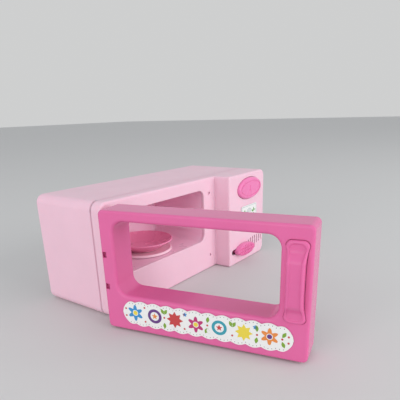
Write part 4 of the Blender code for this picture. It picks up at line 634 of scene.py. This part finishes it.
# Electronics and speaker
# A green board with its push switch and black sealed chip, a slide switch in a steel case, and a
# small loudspeaker with a paper cone, all screwed or pressed behind the control box.
green_laminate = moulded_plastic("green_laminate", (0.02, 0.13, 0.045), roughness=0.4, depth=0.12)
black_plastic = moulded_plastic("black_plastic", (0.018, 0.018, 0.02), roughness=0.45, depth=0.1)
pressed_paper = moulded_plastic("pressed_paper", (0.24, 0.22, 0.19), roughness=0.85, grain=0.0005, depth=0.15)
finished(green_laminate, "circuit_board")
finished(black_plastic, "push_switch", "sound_chip", "switch_plunger", "switch_lever")
finished(plated_steel, "slide_switch", "board_screw_1", "board_screw_2", "switch_screw_1", "switch_screw_2")
finished(drawn_steel, "speaker_frame", "speaker_magnet")
finished(pressed_paper, "speaker_cone")

# Battery bay
# Two cells in a white tray between plated springs and contact plates. The cover, flush with the
# base, is pale plastic and held by one sunk screw through its ear.
cover_screw_low, cover_screw_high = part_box("battery_cover_screw")
cover_screw_middle = (cover_screw_low + cover_screw_high) / 2
screw_head = (cover_screw_high.x - cover_screw_low.x) / 2
screw_head_height = 0.0013
cover_edge = 0.0003
wrapped_can = plain_metal("wrapped_cell_can", (0.09, 0.14, 0.3), 0.35)
finished(white_acetal, "battery_tray")
finished(wrapped_can, "battery_cell_1", "battery_cell_2")
finished(plated_steel, "battery_spring_1", "battery_spring_2", "contact_plus", "contact_minus",
         "contact_link", "battery_cover_screw")
battery_cover = cover_shape("battery_cover_plate", 0, cover_low.z, cover_high.z)
battery_cover = eased(battery_cover, cover_edge, lambda at: at.z < cover_low.z + weld, 2)
battery_cover = worked(battery_cover, [
    thin_rod(cover_screw_middle, small_screw_hole, cover_low.z - overrun, cover_high.z + overrun, "Z"),
    rod(cover_screw_middle, screw_head + seam_gap, cover_low.z - overrun,
        cover_low.z + screw_head_height + seam_gap, "Z")])
set_in(smoothed(battery_cover), "case", "shell_pink", shell_pink, "battery_cover")

# Push button
# A domed ellipse of hot pink plastic with a groove around its face and a raised start mark. Its lip
# lies behind the panel, and it pushes on the switch of the board.
button_proud = 0.0023
button_dome = 0.002
button_lip_thickness = 0.0012
button_lip_size = (button_high.x - button_low.x, button_high.z - button_low.z)
button_groove = (0.0027, 0.0035)
button_groove_depth = 0.0004
mark_radius = 0.003
button_front = control_y - button_proud
lip_front = button_high.y - button_lip_thickness

push_button = pressed("push_button_cap", [ellipse(button_middle, *button_size)], button_front,
                      lip_front + weld)
push_button = eased(push_button, button_dome, lambda at: at.y < control_y, 8)
button_lip = pressed("button_lip", [ellipse(button_middle, *button_lip_size)], lip_front, button_high.y)
start_mark = rod(button_middle, mark_radius, button_low.y, button_front + button_groove_depth, steps=3)
start_mark = eased(start_mark, button_groove_depth / 2, lambda at: at.y < button_front, 3)
push_button = worked(push_button, [button_lip, start_mark], 'UNION')
groove = [ellipse(button_middle, *[size - 2 * inset for size in button_size]) for inset in button_groove]
groove = pressed("groove", groove, button_front - overrun, button_front + button_groove_depth)
push_button = worked(push_button, [groove])
# The button and the knob share a lighter copy of the door's hot pink: painted light on their faces turned to
# the lamps.
lit_hot_pink = moulded_plastic("control_pink_plastic", (0.84, 0.21, 0.46), roughness=0.28, glow=0.08)
set_in(smoothed(push_button), "button", "hot_pink", lit_hot_pink, "push_button")

# Slide knob
# An elliptical grip of hot pink plastic in its slot, its face cut into rows of small studs for the
# finger. A neck and a foot behind the panel carry it and move the switch's lever.
knob_round = 0.0016
stud_pitch = 0.0026
stud_groove = 0.001
stud_depth = 0.0008
stud_rows = 3
knob_neck_length = 0.018
knob_foot = (0.016, 0.0074, 0.0012)
slider_low, slider_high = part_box("switch_lever")
neck_middle = ((slider_low.x + slider_high.x) / 2, knob_middle[1])
foot_front = knob_high.y - knob_foot[2]

grip = ellipse(knob_middle, knob_high.x - knob_low.x, knob_high.z - knob_low.z)
slide_knob = pressed("slide_knob_grip", [grip], knob_low.y, control_y - seam_gap)
slide_knob = eased(slide_knob, knob_round, lambda at: at.y < knob_low.y + weld, 6)
stud_columns = int((knob_high.x - knob_low.x) / stud_pitch)
groove_front, groove_floor = knob_low.y - overrun, knob_low.y + stud_depth
grooves = [block("column_groove", (across - stud_groove / 2, groove_front, knob_low.z - overrun),
                 (across + stud_groove / 2, groove_floor, knob_high.z + overrun))
           for across in spread(knob_middle[0], stud_pitch, stud_columns)]
grooves += [block("row_groove", (knob_low.x - overrun, groove_front, level - stud_groove / 2),
                  (knob_high.x + overrun, groove_floor, level + stud_groove / 2))
            for level in spread(knob_middle[1], stud_pitch, stud_rows)]
slide_knob = worked(slide_knob, grooves)
knob_neck = pressed("knob_neck", [oval(neck_middle, knob_neck_length, slot_height - 2 * seam_gap)],
                    control_y - 2 * seam_gap, foot_front + seam_gap)
knob_sole = block("knob_sole", *[(neck_middle[0] + side * knob_foot[0] / 2, level,
                                  neck_middle[1] + side * knob_foot[1] / 2)
                                 for side, level in ((-1, foot_front), (1, knob_high.y))])
slide_knob = worked(slide_knob, [knob_neck, knob_sole], 'UNION')
# The knob wears the same lighter copy of hot pink, painted light.
set_in(smoothed(slide_knob), "knob", "hot_pink", lit_hot_pink, "slide_knob")

# Panel label
# A white printed film stuck under the button: a thin grey frame, two green sprigs, a few berries
# and small arcs, all plain ornament.
label_low, label_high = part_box("panel_label")
label_middle = front_middle(label_low, label_high)
label_corner = 0.002
label_frame = (0.0008, 0.0011)
ink_thickness = 0.00006
printing_dots = 4200.0
printing_depth = 0.000005
printing_shade = 0.07
clear_coat = 0.3
clear_coat_roughness = 0.15
sprig_place = (0.0076, 0.002)
sprig_turns = (20, 90, 160)
sprig_leaf = (0.0036, 0.0018)
low_leaf = (0.0035, 0.0014)
low_leaf_fall = 0.0008
low_leaf_lean = 25
label_berries = ((0.003, 0.0022, 0.0009), (0.0012, 0.0041, 0.0007))
arc_radii = (0.0022, 0.0034, 0.0046)
arc_rise = 0.0014
arc_stroke = 0.0005
arc_ends = (25, 155)
label_dot = 0.0006
label_dot_fall = 0.0052
label_dot_pitch = 0.004
label_inks = {
    "leaf_green": (0.10, 0.36, 0.05), "berry_orange": (0.86, 0.28, 0.04), "soft_grey": (0.42, 0.48, 0.5),
}


def printed_film(name, colour, roughness=0.3):
    """Ink or bare white film with the dots of its printing and a thin clear coat."""
    material, tree, shader, place = new_finish(name)
    dots = wired(tree, "ShaderNodeTexVoronoi", Vector=place, Scale=printing_dots, Randomness=0.3)
    dots = dots.outputs["Distance"]
    bump = wired(tree, "ShaderNodeBump", Height=dots, Distance=printing_depth, Strength=0.2)
    tint = shaded(tree, dots, darker(colour, printing_shade), colour)
    set_up(tree, shader, Base_Color=tint, Roughness=roughness, Normal=bump.outputs["Normal"],
           Coat_Weight=clear_coat, Coat_Roughness=clear_coat_roughness)
    return material


def leaf(root, length, width, angle, steps=8):
    """A pointed leaf from its root, between two bowed sides."""
    shares = [step / steps for step in range(steps + 1)]
    sides = [Vector((length * share, width / 2 * sin(pi * share))) for share in shares]
    sides += [Vector((u, -v)) for u, v in reversed(sides[1:-1])]
    turn = Matrix.Rotation(radians(angle), 2)
    return [tuple(Vector(root) + turn @ point) for point in sides]


def bow(middle, radius, thickness, first, last):
    """A thin curved stroke."""
    return arc(middle, radius, first, last, 14) + arc(middle, radius - thickness, last, first, 14)


film_white = printed_film("film_white", (0.86, 0.87, 0.85))
panel_label = pressed("panel_label_film", [front_frame(label_low, label_high, label_corner)], label_low.y,
                      label_high.y)
set_in(smoothed(panel_label), "case", "print_film", film_white, "panel_label")
leaves = []
berries = []
for side in (-1, 1):
    root = (label_middle[0] + side * sprig_place[0], label_middle[1] + sprig_place[1])
    leaves += [leaf(root, *sprig_leaf, turn) for turn in sprig_turns]
    leaves.append(leaf((root[0], root[1] - low_leaf_fall), *low_leaf, 270 + low_leaf_lean * side))
    berries += [ring((root[0] - side * across, root[1] - fall), radius, 20)
                for across, fall, radius in label_berries]
arcs = [bow((label_middle[0], label_middle[1] + arc_rise), radius, arc_stroke, *arc_ends)
        for radius in arc_radii]
arcs += [ring((across, label_middle[1] - label_dot_fall), label_dot, 16)
         for across in spread(label_middle[0], label_dot_pitch, 3)]
frame_lines = [front_frame(label_low, label_high, label_corner, inset) for inset in label_frame]
for name, outlines in (("leaf_green", leaves), ("berry_orange", berries), ("soft_grey", arcs + frame_lines)):
    ink = pressed(f"label_{name}", outlines, label_low.y - ink_thickness, label_low.y)
    set_in(ink, "case", "print_film", printed_film(name, label_inks[name]))

# Case screws
# Five long plated steel screws with domed heads and a cross recess. They are sunk in the rear case's
# bores and bite into the bosses of the front panel.
screw_slot = (0.0028, 0.0005, 0.0009)
screw_shank = 0.0011
small_screw_head = 0.0013
small_screw_shank = 0.0008
small_screw_slot = (0.002, 0.0004, 0.0007)
small_screw = (small_screw_head, small_screw_shank, small_screw_slot)
thread_pitch = 0.0008
thread_depth = 0.0002


def turned_screw(name, low, high, direction, head_rise, shank, slot):
    """A domed screw with a cross recess and a threaded shank, in the space between two corners."""
    head = (high.x - low.x) / 2
    point = head_rise - (high - low)[1 if direction == "forward" else 2]
    dome = [radians(angle) for angle in range(0, 91, 15)]
    profile = [*[(head * sin(turn), head_rise / 2 * (1 + cos(turn))) for turn in dome],
               (head, 0), (shank, 0)]
    level = -thread_pitch
    while level > point + shank + thread_pitch:
        profile += [(shank, level), (shank - thread_depth, level - thread_pitch / 2)]
        level -= thread_pitch
    profile += [(shank - thread_depth, point + shank), (0, point)]
    screw = turned(name, profile, (0, 0), 32)
    floor = head_rise - slot[2]
    arms = [block("slot", (-u / 2, -v / 2, floor), (u / 2, v / 2, head_rise + overrun))
            for u, v in (slot[:2], slot[1::-1])]
    screw = worked(screw, arms)
    middle = (low + high) / 2
    if direction == "forward":
        seat = Vector((middle.x, high.y - head_rise, middle.z))
        turn = Matrix.Rotation(radians(-90), 4, 'X')
    else:
        seat = Vector((middle.x, middle.y, low.z + head_rise))
        turn = Matrix.Rotation(radians(180), 4, 'X')
    screw.data.transform(Matrix.Translation(seat) @ turn)
    return smoothed(screw)


for number, (low, high) in enumerate(screw_boxes, 1):
    case_screw = turned_screw(f"case_screw_{number}_turned", low, high, "forward", head_height, screw_shank,
                              screw_slot)
    set_in(case_screw, "case", "steel", plated_steel, f"case_screw_{number}")
cover_screw = turned_screw("battery_cover_screw_turned", cover_screw_low, cover_screw_high, "up",
                           *small_screw)
set_in(cover_screw, "case", "steel", plated_steel, "battery_cover_screw")

# Hinge pin
# A plain steel pin that carries the door. It runs through the case's two arms and the door's two
# eyes, and its ends are pressed in.
finished(plated_steel, "hinge_pin")

# Door frame
# A thick hot pink moulding, open at the back, with soft edges round its window. It is made as if the
# door were closed and then swung open on its pin, as it stands at rest.
door_rest = radians(hinge["range_deg"][0])
door_left = case_low.x
door_size = (0.1214, 0.0185)
door_levels = (0.001, 0.0743)
door_corner = 0.003
door_round = 0.0015
door_back_round = 0.0003
door_wall = 0.0018
door_clearance = 0.0005
window_span = (0.0089, 0.1055)
window_levels = (0.0235, 0.0682)
window_radius = 0.007
window_round = 0.002
reveal_wall = 0.0015
eye_offset = 0.0099
eye_height = 0.0038
eye_radius = 0.0028
arm_clearance = 0.001
notch_reach = arm_offset + arm_height / 2 + arm_clearance
notch_depth = 0.0118
eye_window = (0.001, 0.0026, 0.0036)
handle_span = (0.108, 0.1193)
handle_levels = (0.0235, 0.0669)
handle_corner = 0.003
handle_waist = 0.0013
handle_pad = 0.0016
handle_rise = 0.005
handle_pad_length = 0.0048
handle_ramp = 0.0062
handle_pocket = 0.0008
corner_points = 11
side_steps = 32
door_back_thickness = 0.002
boss_size = 0.0027
door_back_y = face_y - door_clearance
door_front_y = door_back_y - door_size[1]
door_screw_places = ((0.022, 0.012), (0.1, 0.012), (0.1133, 0.0452))


def swung(piece):
    """The closed piece turned about the hinge's axis to where the door stands at rest."""
    pivot = Matrix.Translation((hinge_x, hinge_y, 0))
    piece.data.transform(pivot @ Matrix.Rotation(door_rest, 4, 'Z') @ pivot.inverted())
    piece.data.update()
    return piece


def door_outline(inset):
    return rounded_frame((door_left + inset, door_levels[0] + inset),
                         (door_left + door_size[0] - inset, door_levels[1] - inset), door_corner - inset / 2)


def window_outline(grow):
    return rounded_frame((door_left + window_span[0] - grow, window_levels[0] - grow),
                         (door_left + window_span[1] + grow, window_levels[1] + grow),
                         window_radius + grow, 16)


def handle_outline(grow):
    """Round corners and long sides that draw in slightly at the middle."""
    middle = ((handle_span[0] + handle_span[1]) / 2, (handle_levels[0] + handle_levels[1]) / 2)
    half = (handle_span[1] - handle_span[0]) / 2 + grow
    rise = (handle_levels[1] - handle_levels[0]) / 2 + grow
    straight = rise - handle_corner
    outline = rounded_frame((-half, -rise), (half, rise), handle_corner, corner_points - 1)
    upper, lower = outline[:2 * corner_points], outline[2 * corner_points:]
    levels = [straight * (1 - step / side_steps) for step in range(1, 2 * side_steps)]
    side = [(half - handle_waist * (1 - (level / straight) ** 4), level) for level in levels]
    outline = upper + [(-u, v) for u, v in side] + lower + side[::-1]
    return [(door_left + middle[0] + u, middle[1] + v) for u, v in outline]


def notch(name, inward):
    """The room for the case's two arms at the hinge edge."""
    return block(name, (door_left - overrun, door_back_y - notch_depth, hinge_z - notch_reach),
                 (door_left + inward, face_y, hinge_z + notch_reach))


def at_window(at):
    return (window_span[0] - weld < at.x - door_left < window_span[1] + weld
            and window_levels[0] - weld < at.z < window_levels[1] + weld)


def door_share(at):
    """Wide rounding around the window's front, less along the outer front, hardly any at the back."""
    if at.y < door_front_y + weld:
        return 1 if at_window(at) else door_round / window_round
    return door_back_round / window_round if at.y > door_back_y - weld else 0


door_frame = pressed("door_frame_moulding", [door_outline(0), window_outline(0)], door_front_y, door_back_y)
door_frame = eased(door_frame, window_round, door_share, 6, clamped=False)
door_floor = door_front_y + door_wall
hollow = pressed("door_hollow", [door_outline(door_wall), window_outline(reveal_wall)], door_floor,
                 door_back_y + overrun)
door_frame = worked(door_frame, [hollow, notch("frame_notch", window_span[0] - reveal_wall)])
posts = []
bores = []
boss_end = door_back_y - door_back_thickness - seam_gap
for along, level in door_screw_places:
    place = (door_left + along, level)
    posts.append(rod(place, boss_size, door_floor - seam_gap, boss_end))
    bores.append(thin_rod(place, small_screw_hole, boss_end - 3 * boss_size, boss_end + overrun))
for level in (hinge_z - eye_offset, hinge_z + eye_offset):
    low, high = level - eye_height / 2, level + eye_height / 2
    arm = block("eye_arm", (hinge_x, hinge_y - eye_radius, low),
                (door_left + window_span[0] + window_radius, hinge_y + eye_radius, high))
    arm_end = pressed("eye_arm_end", [window_outline(reveal_wall / 2)], hinge_y - 2 * eye_radius,
                      hinge_y + 2 * eye_radius)
    posts.append(worked(arm, [arm_end]))
    posts.append(rod(hinge_axis, eye_radius, low, high, "Z"))
    bores.append(thin_rod(hinge_axis, pin_bore, low - overrun / 4, high + overrun / 4, "Z"))
    left = door_left + eye_window[0]
    bores.append(block("eye_window", (left, door_front_y - overrun, level - eye_window[2] / 2),
                       (left + eye_window[1], door_floor + seam_gap, level + eye_window[2] / 2)))
peg_x = door_left + (handle_span[0] + handle_span[1]) / 2
peg_inset = (handle_pad_length + handle_pad) / 2
peg_places = ((peg_x, handle_levels[0] + peg_inset), (peg_x, handle_levels[1] - peg_inset))
bores.append(pressed("pocket", [handle_outline(seam_gap)], door_front_y - overrun,
                     door_front_y + handle_pocket))
for place in peg_places:
    bores.append(thin_rod(place, handle_pad + seam_gap, door_front_y, door_floor + overrun))
door_frame = worked(worked(door_frame, posts, 'UNION'), bores)
set_in(smoothed(swung(door_frame)), "door", "hot_pink", hot_pink, "door_frame")

# Door back
# The plate that closes the door from behind, held by three screws in sunk holes. Its two pips snap
# into the case's dimples and hold the door shut.
pip_radius = 0.0009
pip_height = 0.0008
pip_from_hinge = 0.1136
plate_front = door_back_y - door_back_thickness
recess_floor = door_back_y - small_screw_head - seam_gap

plate = [door_outline(door_wall + seam_gap), window_outline(reveal_wall + seam_gap)]
door_back = pressed("door_back_plate", plate, plate_front, door_back_y)
door_back = eased(door_back, door_back_round, lambda at: at.y > door_back_y - weld, 2)
posts = []
bores = [notch("plate_notch", window_span[0])]
for level in (dimple[1] for dimple in dimple_places):
    pip = thin_rod((door_left + pip_from_hinge, level), pip_radius, door_back_y - seam_gap,
                   door_back_y + pip_height)
    posts.append(eased(pip, pip_height / 2, lambda at: at.y > door_back_y, 4))
for along, level in door_screw_places:
    place = (door_left + along, level)
    bores.append(thin_rod(place, small_screw_hole, plate_front - overrun, recess_floor + seam_gap))
    bores.append(rod(place, screw_head + seam_gap, recess_floor, door_back_y + overrun))
door_back = worked(worked(door_back, posts, 'UNION'), bores)
set_in(smoothed(swung(door_back)), "door", "hot_pink", hot_pink, "door_back")

# Door handle
# A separate bar of the same hot pink, with a flat pad at each end, a raised grip between two ramps
# and a round rim along its whole edge. Two pegs behind the pads are pressed into the door.
handle_edge = 0.0011
handle_rim = 0.001
handle_sink = 0.0007
edge_steps = 6
handle_base = door_front_y + handle_pocket - seam_gap


def handle_front(level, inset):
    """How far in front of the door the bar's face is, at a height and so far in from its edge."""
    from_end = min(level - handle_levels[0], handle_levels[1] - level)
    climb = min(1, max(0, (from_end - handle_pad_length) / handle_ramp))
    front = handle_pad + (handle_rise - handle_pad) * (1 - cos(pi * climb)) / 2
    if inset < handle_edge:
        return front - handle_edge + sqrt(handle_edge ** 2 - (handle_edge - inset) ** 2)
    return front - handle_sink * (1 - cos(pi * (inset - handle_edge) / handle_rim)) / 2


def handle_bar(name):
    """Outlines one inside the other from the back edge to the sunk face, closed across in rungs."""
    insets = [handle_edge * (1 - cos(radians(90) * step / edge_steps))
              for step in range(edge_steps + 1)]
    insets += [handle_edge + handle_rim * step / edge_steps for step in range(1, edge_steps + 1)]
    work = bmesh.new()
    rings = [[work.verts.new((x, handle_base, z)) for x, z in handle_outline(0)]]
    for inset in insets:
        rings.append([work.verts.new((x, door_front_y - handle_front(z, inset), z))
                      for x, z in handle_outline(-inset)])
    count = len(rings[0])
    for outer, inner in zip(rings, rings[1:]):
        for number in range(count):
            after = (number + 1) % count
            work.faces.new((outer[number], outer[after], inner[after], inner[number]))
    for rungs in (rings[0], rings[-1]):
        for number in range(count // 2 - 1):
            right, left = (corner_points - 1 - number) % count, (corner_points + number) % count
            work.faces.new((rungs[right], rungs[right - 1], rungs[(left + 1) % count], rungs[left]))
    bmesh.ops.recalc_face_normals(work, faces=work.faces)
    return made(name, work)


door_handle = handle_bar("door_handle_bar")
pegs = [thin_rod(place, handle_pad, handle_base - seam_gap, door_floor + handle_pocket)
        for place in peg_places]
door_handle = worked(door_handle, pegs, 'UNION')
set_in(smoothed(swung(door_handle)), "door", "hot_pink", hot_pink, "door_handle")

# Door band
# A die-cut picture film along the bottom of the door, white with a lobed edge. A loose row of
# flowers, rings, stars, leaves and dots is printed on it in clear colours, all plain ornament.
band_span = (0.012, 0.114)
band_length = band_span[1] - band_span[0]
band_middle = 0.0135
band_half = 0.008
band_lobe = 0.0085
band_lobe_share = 0.16
band_end = 0.009
film_thickness = 0.0003
band_back = door_front_y - seam_gap
band_front = band_back - film_thickness
flower_hole, flower_heart = 0.36, 0.27
ring_hole, ring_star = 0.62, 0.45
ring_rise = 0.0002
spark_waist = 0.62
bud_offset, bud_size = (1.25, 0.85), 0.26
band_leaf = (0.0038, 0.0019)
band_berry = 0.0006
dot_count = 46
dot_radius = 0.00022
dot_inset = 0.0011
dot_margin = 0.005
dot_taper = 0.2
band_inks = {
    "sky_blue": (0.03, 0.27, 0.60), "plum": (0.13, 0.04, 0.22), "grass_green": (0.20, 0.38, 0.03),
    "brick_red": (0.56, 0.05, 0.05), "warm_orange": (0.80, 0.26, 0.05), "sea_teal": (0.03, 0.33, 0.42),
    "deep_magenta": (0.50, 0.03, 0.17), "sun_yellow": (0.82, 0.66, 0.06), "fine_black": (0.03, 0.03, 0.035),
}


def placed(along, rise):
    return (door_left + band_span[0] + along, band_middle + rise)


def edge_rise(along, least=0.0):
    """How far the film's edge is from its middle line: even lobes, and round ends."""
    from_end = min(along, band_length - along)
    lobes = 1 - band_lobe_share * (1 - abs(sin(pi * along / band_lobe)))
    return band_half * lobes * sqrt(max(least, 1 - max(0.0, 1 - from_end / band_end) ** 2))


def lobed_band(steps=220):
    """The film's outline, the same above and below its middle line."""
    upper = [(band_length * step / steps, edge_rise(band_length * step / steps)) for step in range(steps + 1)]
    return [placed(*point) for point in upper + [(along, -rise) for along, rise in reversed(upper[1:-1])]]


def radial(middle, reaches):
    """An outline round a middle, whose points lie at even turns and at given distances."""
    turns = [2 * pi * number / len(reaches) for number in range(len(reaches))]
    return [(middle[0] + reach * sin(turn), middle[1] + reach * cos(turn))
            for turn, reach in zip(turns, reaches)]


def flower(middle, radius, petals, depth_share=0.24, steps=60):
    """A round flower whose petals are waves of its edge."""
    waves = [cos(2 * pi * petals * step / steps) for step in range(steps)]
    return radial(middle, [radius * (1 - depth_share + depth_share * wave) for wave in waves])


def star(middle, radius, points=5, waist_share=0.45):
    return radial(middle, [radius, radius * waist_share] * points)


door_band = pressed("door_band_film", [lobed_band()], band_front, band_back)
set_in(smoothed(swung(door_band)), "door", "print_film", film_white, "door_band")
shapes = {name: [] for name in band_inks}
for along, rise, radius, ink, heart in ((0.0085, 0.0003, 0.0052, "sky_blue", "sun_yellow"),
                                        (0.0475, -0.0004, 0.005, "deep_magenta", "sun_yellow"),
                                        (0.0895, 0.0002, 0.005, "warm_orange", "plum")):
    middle = placed(along, rise)
    shapes[ink] += [flower(middle, radius, 6), ring(middle, radius * flower_hole, 24)]
    shapes[heart].append(ring(middle, radius * flower_heart, 24))
for along, radius, ink, core in ((0.0215, 0.0045, "plum", "warm_orange"),
                                 (0.0615, 0.0044, "sea_teal", "brick_red")):
    middle = placed(along, ring_rise)
    shapes[ink] += [ring(middle, radius), ring(middle, radius * ring_hole)]
    shapes[core].append(star(middle, radius * ring_star))
for along, rise, radius, ink in ((0.0345, 0.0002, 0.0052, "brick_red"),
                                 (0.0755, 0.0, 0.005, "sun_yellow")):
    middle = placed(along, rise)
    shapes[ink].append(star(middle, radius, 8, spark_waist))
    bud_middle = [value + radius * share for value, share in zip(middle, bud_offset)]
    shapes["sky_blue"].append(flower(bud_middle, radius * bud_size, 5))
for along, rise, lean in ((0.0278, 0.0025, 60), (0.0278, 0.0025, 120), (0.0278, -0.0028, 270),
                          (0.0545, 0.0020, 80), (0.0545, -0.0012, 285), (0.0545, -0.0012, 250),
                          (0.0690, 0.0020, 60), (0.0690, 0.0020, 115), (0.0828, -0.0015, 260),
                          (0.0828, 0.0018, 95), (0.0962, 0.0008, 60), (0.0962, -0.0015, 290)):
    shapes["grass_green"].append(leaf(placed(along, rise), *band_leaf, lean))
for along, rise in ((0.0150, 0.0046), (0.0150, -0.0044), (0.0405, 0.0046), (0.0405, -0.0044),
                    (0.0690, -0.0030), (0.0278, 0.0004), (0.0545, 0.0004), (0.0828, 0.0), (0.0022, 0.0024),
                    (0.0022, -0.0022), (0.0962, -0.0001), (0.0995, 0.0018), (0.0995, -0.0018)):
    shapes["brick_red"].append(ring(placed(along, rise), band_berry, 16))
for number in range(dot_count):
    along = dot_margin + (band_length - 2 * dot_margin) * number / (dot_count - 1)
    rise = edge_rise(along, dot_taper) - dot_inset
    shapes["fine_black"] += [ring(placed(along, side * rise), dot_radius, 8) for side in (-1, 1)]
for name, outlines in shapes.items():
    ink = pressed(f"band_{name}", outlines, band_front - ink_thickness, band_front)
    set_in(swung(ink), "door", "print_film", printed_film(name, band_inks[name]))

# Door screws
# Three short plated steel screws with domed heads. They lie in the back plate's sunk holes and bite
# into the bosses behind the door's front.
small_screw_length = cover_screw_high.z - cover_screw_low.z
head_reach = Vector((screw_head, 0, screw_head))
for number, (along, level) in enumerate(door_screw_places, 1):
    top = Vector((door_left + along, door_back_y, level)) + head_reach
    tip = top - 2 * head_reach - Vector((0, small_screw_length, 0))
    door_screw = turned_screw(f"door_screw_{number}_turned", tip, top, "forward", *small_screw)
    set_in(swung(door_screw), "door", "steel", plated_steel, f"door_screw_{number}")

# Studio
# A plain pale floor and a plain distance that the camera and all gloss see. Two large soft lamps
# light the toy from the front and, less, from the left.
floor_reach = 6.0
floor_top = -0.0001
floor_thickness = 0.02
floor_colour = (0.66, 0.655, 0.645, 1)
floor_roughness = 0.7
room_light = (0.93, 0.96, 1.0, 1)
room_strength = 0.62
distance_colour = (0.62, 0.625, 0.625, 1)
lit_point = (0, 0, 0.03)

floor = block("floor", (-floor_reach, -floor_reach, floor_top - floor_thickness),
              (floor_reach, floor_reach, floor_top))
floor_paint = bpy.data.materials.new("floor_paint")
floor_paint.use_nodes = True
tree = floor_paint.node_tree
set_up(tree, tree.nodes["Principled BSDF"], Base_Color=floor_colour, Roughness=floor_roughness)
floor.data.materials.append(floor_paint)
world = bpy.data.worlds.new("studio")
bpy.context.scene.world = world
world.use_nodes = True
tree = world.node_tree
room = set_up(tree, tree.nodes["Background"], Color=room_light, Strength=room_strength)
seen = wired(tree, "ShaderNodeBackground", Color=distance_colour, Strength=1.0)
rays = wired(tree, "ShaderNodeLightPath").outputs
either = {"operation": 'MAXIMUM'}
mirrored = wired(tree, "ShaderNodeMath", either, n0=rays["Is Glossy Ray"], n1=rays["Is Transmission Ray"])
direct = wired(tree, "ShaderNodeMath", either, n0=rays["Is Camera Ray"], n1=mirrored.outputs["Value"])
shared = wired(tree, "ShaderNodeMixShader", Fac=direct.outputs["Value"], n1=room.outputs[0],
               n2=seen.outputs[0])
set_up(tree, tree.nodes["World Output"], Surface=shared.outputs[0])


def soft_box(name, place, size, power, gleam):
    """A large square lamp that faces the toy, and of whose light only a part gleams on gloss."""
    for part, energy in (("fill", power - gleam), ("gleam", gleam)):
        lamp = bpy.data.lights.new(f"{name}_{part}", 'AREA')
        lamp.size = size
        lamp.energy = energy
        holder = bpy.data.objects.new(f"{name}_{part}", lamp)
        holder.location = place
        holder.rotation_euler = (Vector(lit_point) - Vector(place)).to_track_quat('-Z', 'Y').to_euler()
        holder.visible_glossy = part == "gleam"
        bpy.context.scene.collection.objects.link(holder)


soft_box("front_window", (0.25, -1.5, 0.36), 1.3, 18.5, 10)
soft_box("left_window", (-1.5, -0.15, 0.5), 1.1, 10.5, 6.5)

view_place = (-0.2540, -0.2255, 0.1242)
view_heading = radians(-53.62)
view_tilt = radians(70.0)
view_roll = radians(-1.79)
photo_lens = 38.13
photo_shift = 0.16675
camera = bpy.data.cameras.new("camera")
camera.lens = photo_lens
camera.sensor_width = 36.0
camera.shift_y = photo_shift
camera.clip_start = 0.01
viewer = bpy.data.objects.new("camera", camera)
viewer.matrix_world = (Matrix.Translation(view_place) @ Matrix.Rotation(view_heading, 4, 'Z')
                       @ Matrix.Rotation(view_tilt, 4, 'X') @ Matrix.Rotation(view_roll, 4, 'Z'))
bpy.context.scene.collection.objects.link(viewer)
bpy.context.scene.camera = viewer
bpy.context.scene.view_settings.view_transform = 'Standard'

bpy.context.view_layer.update()
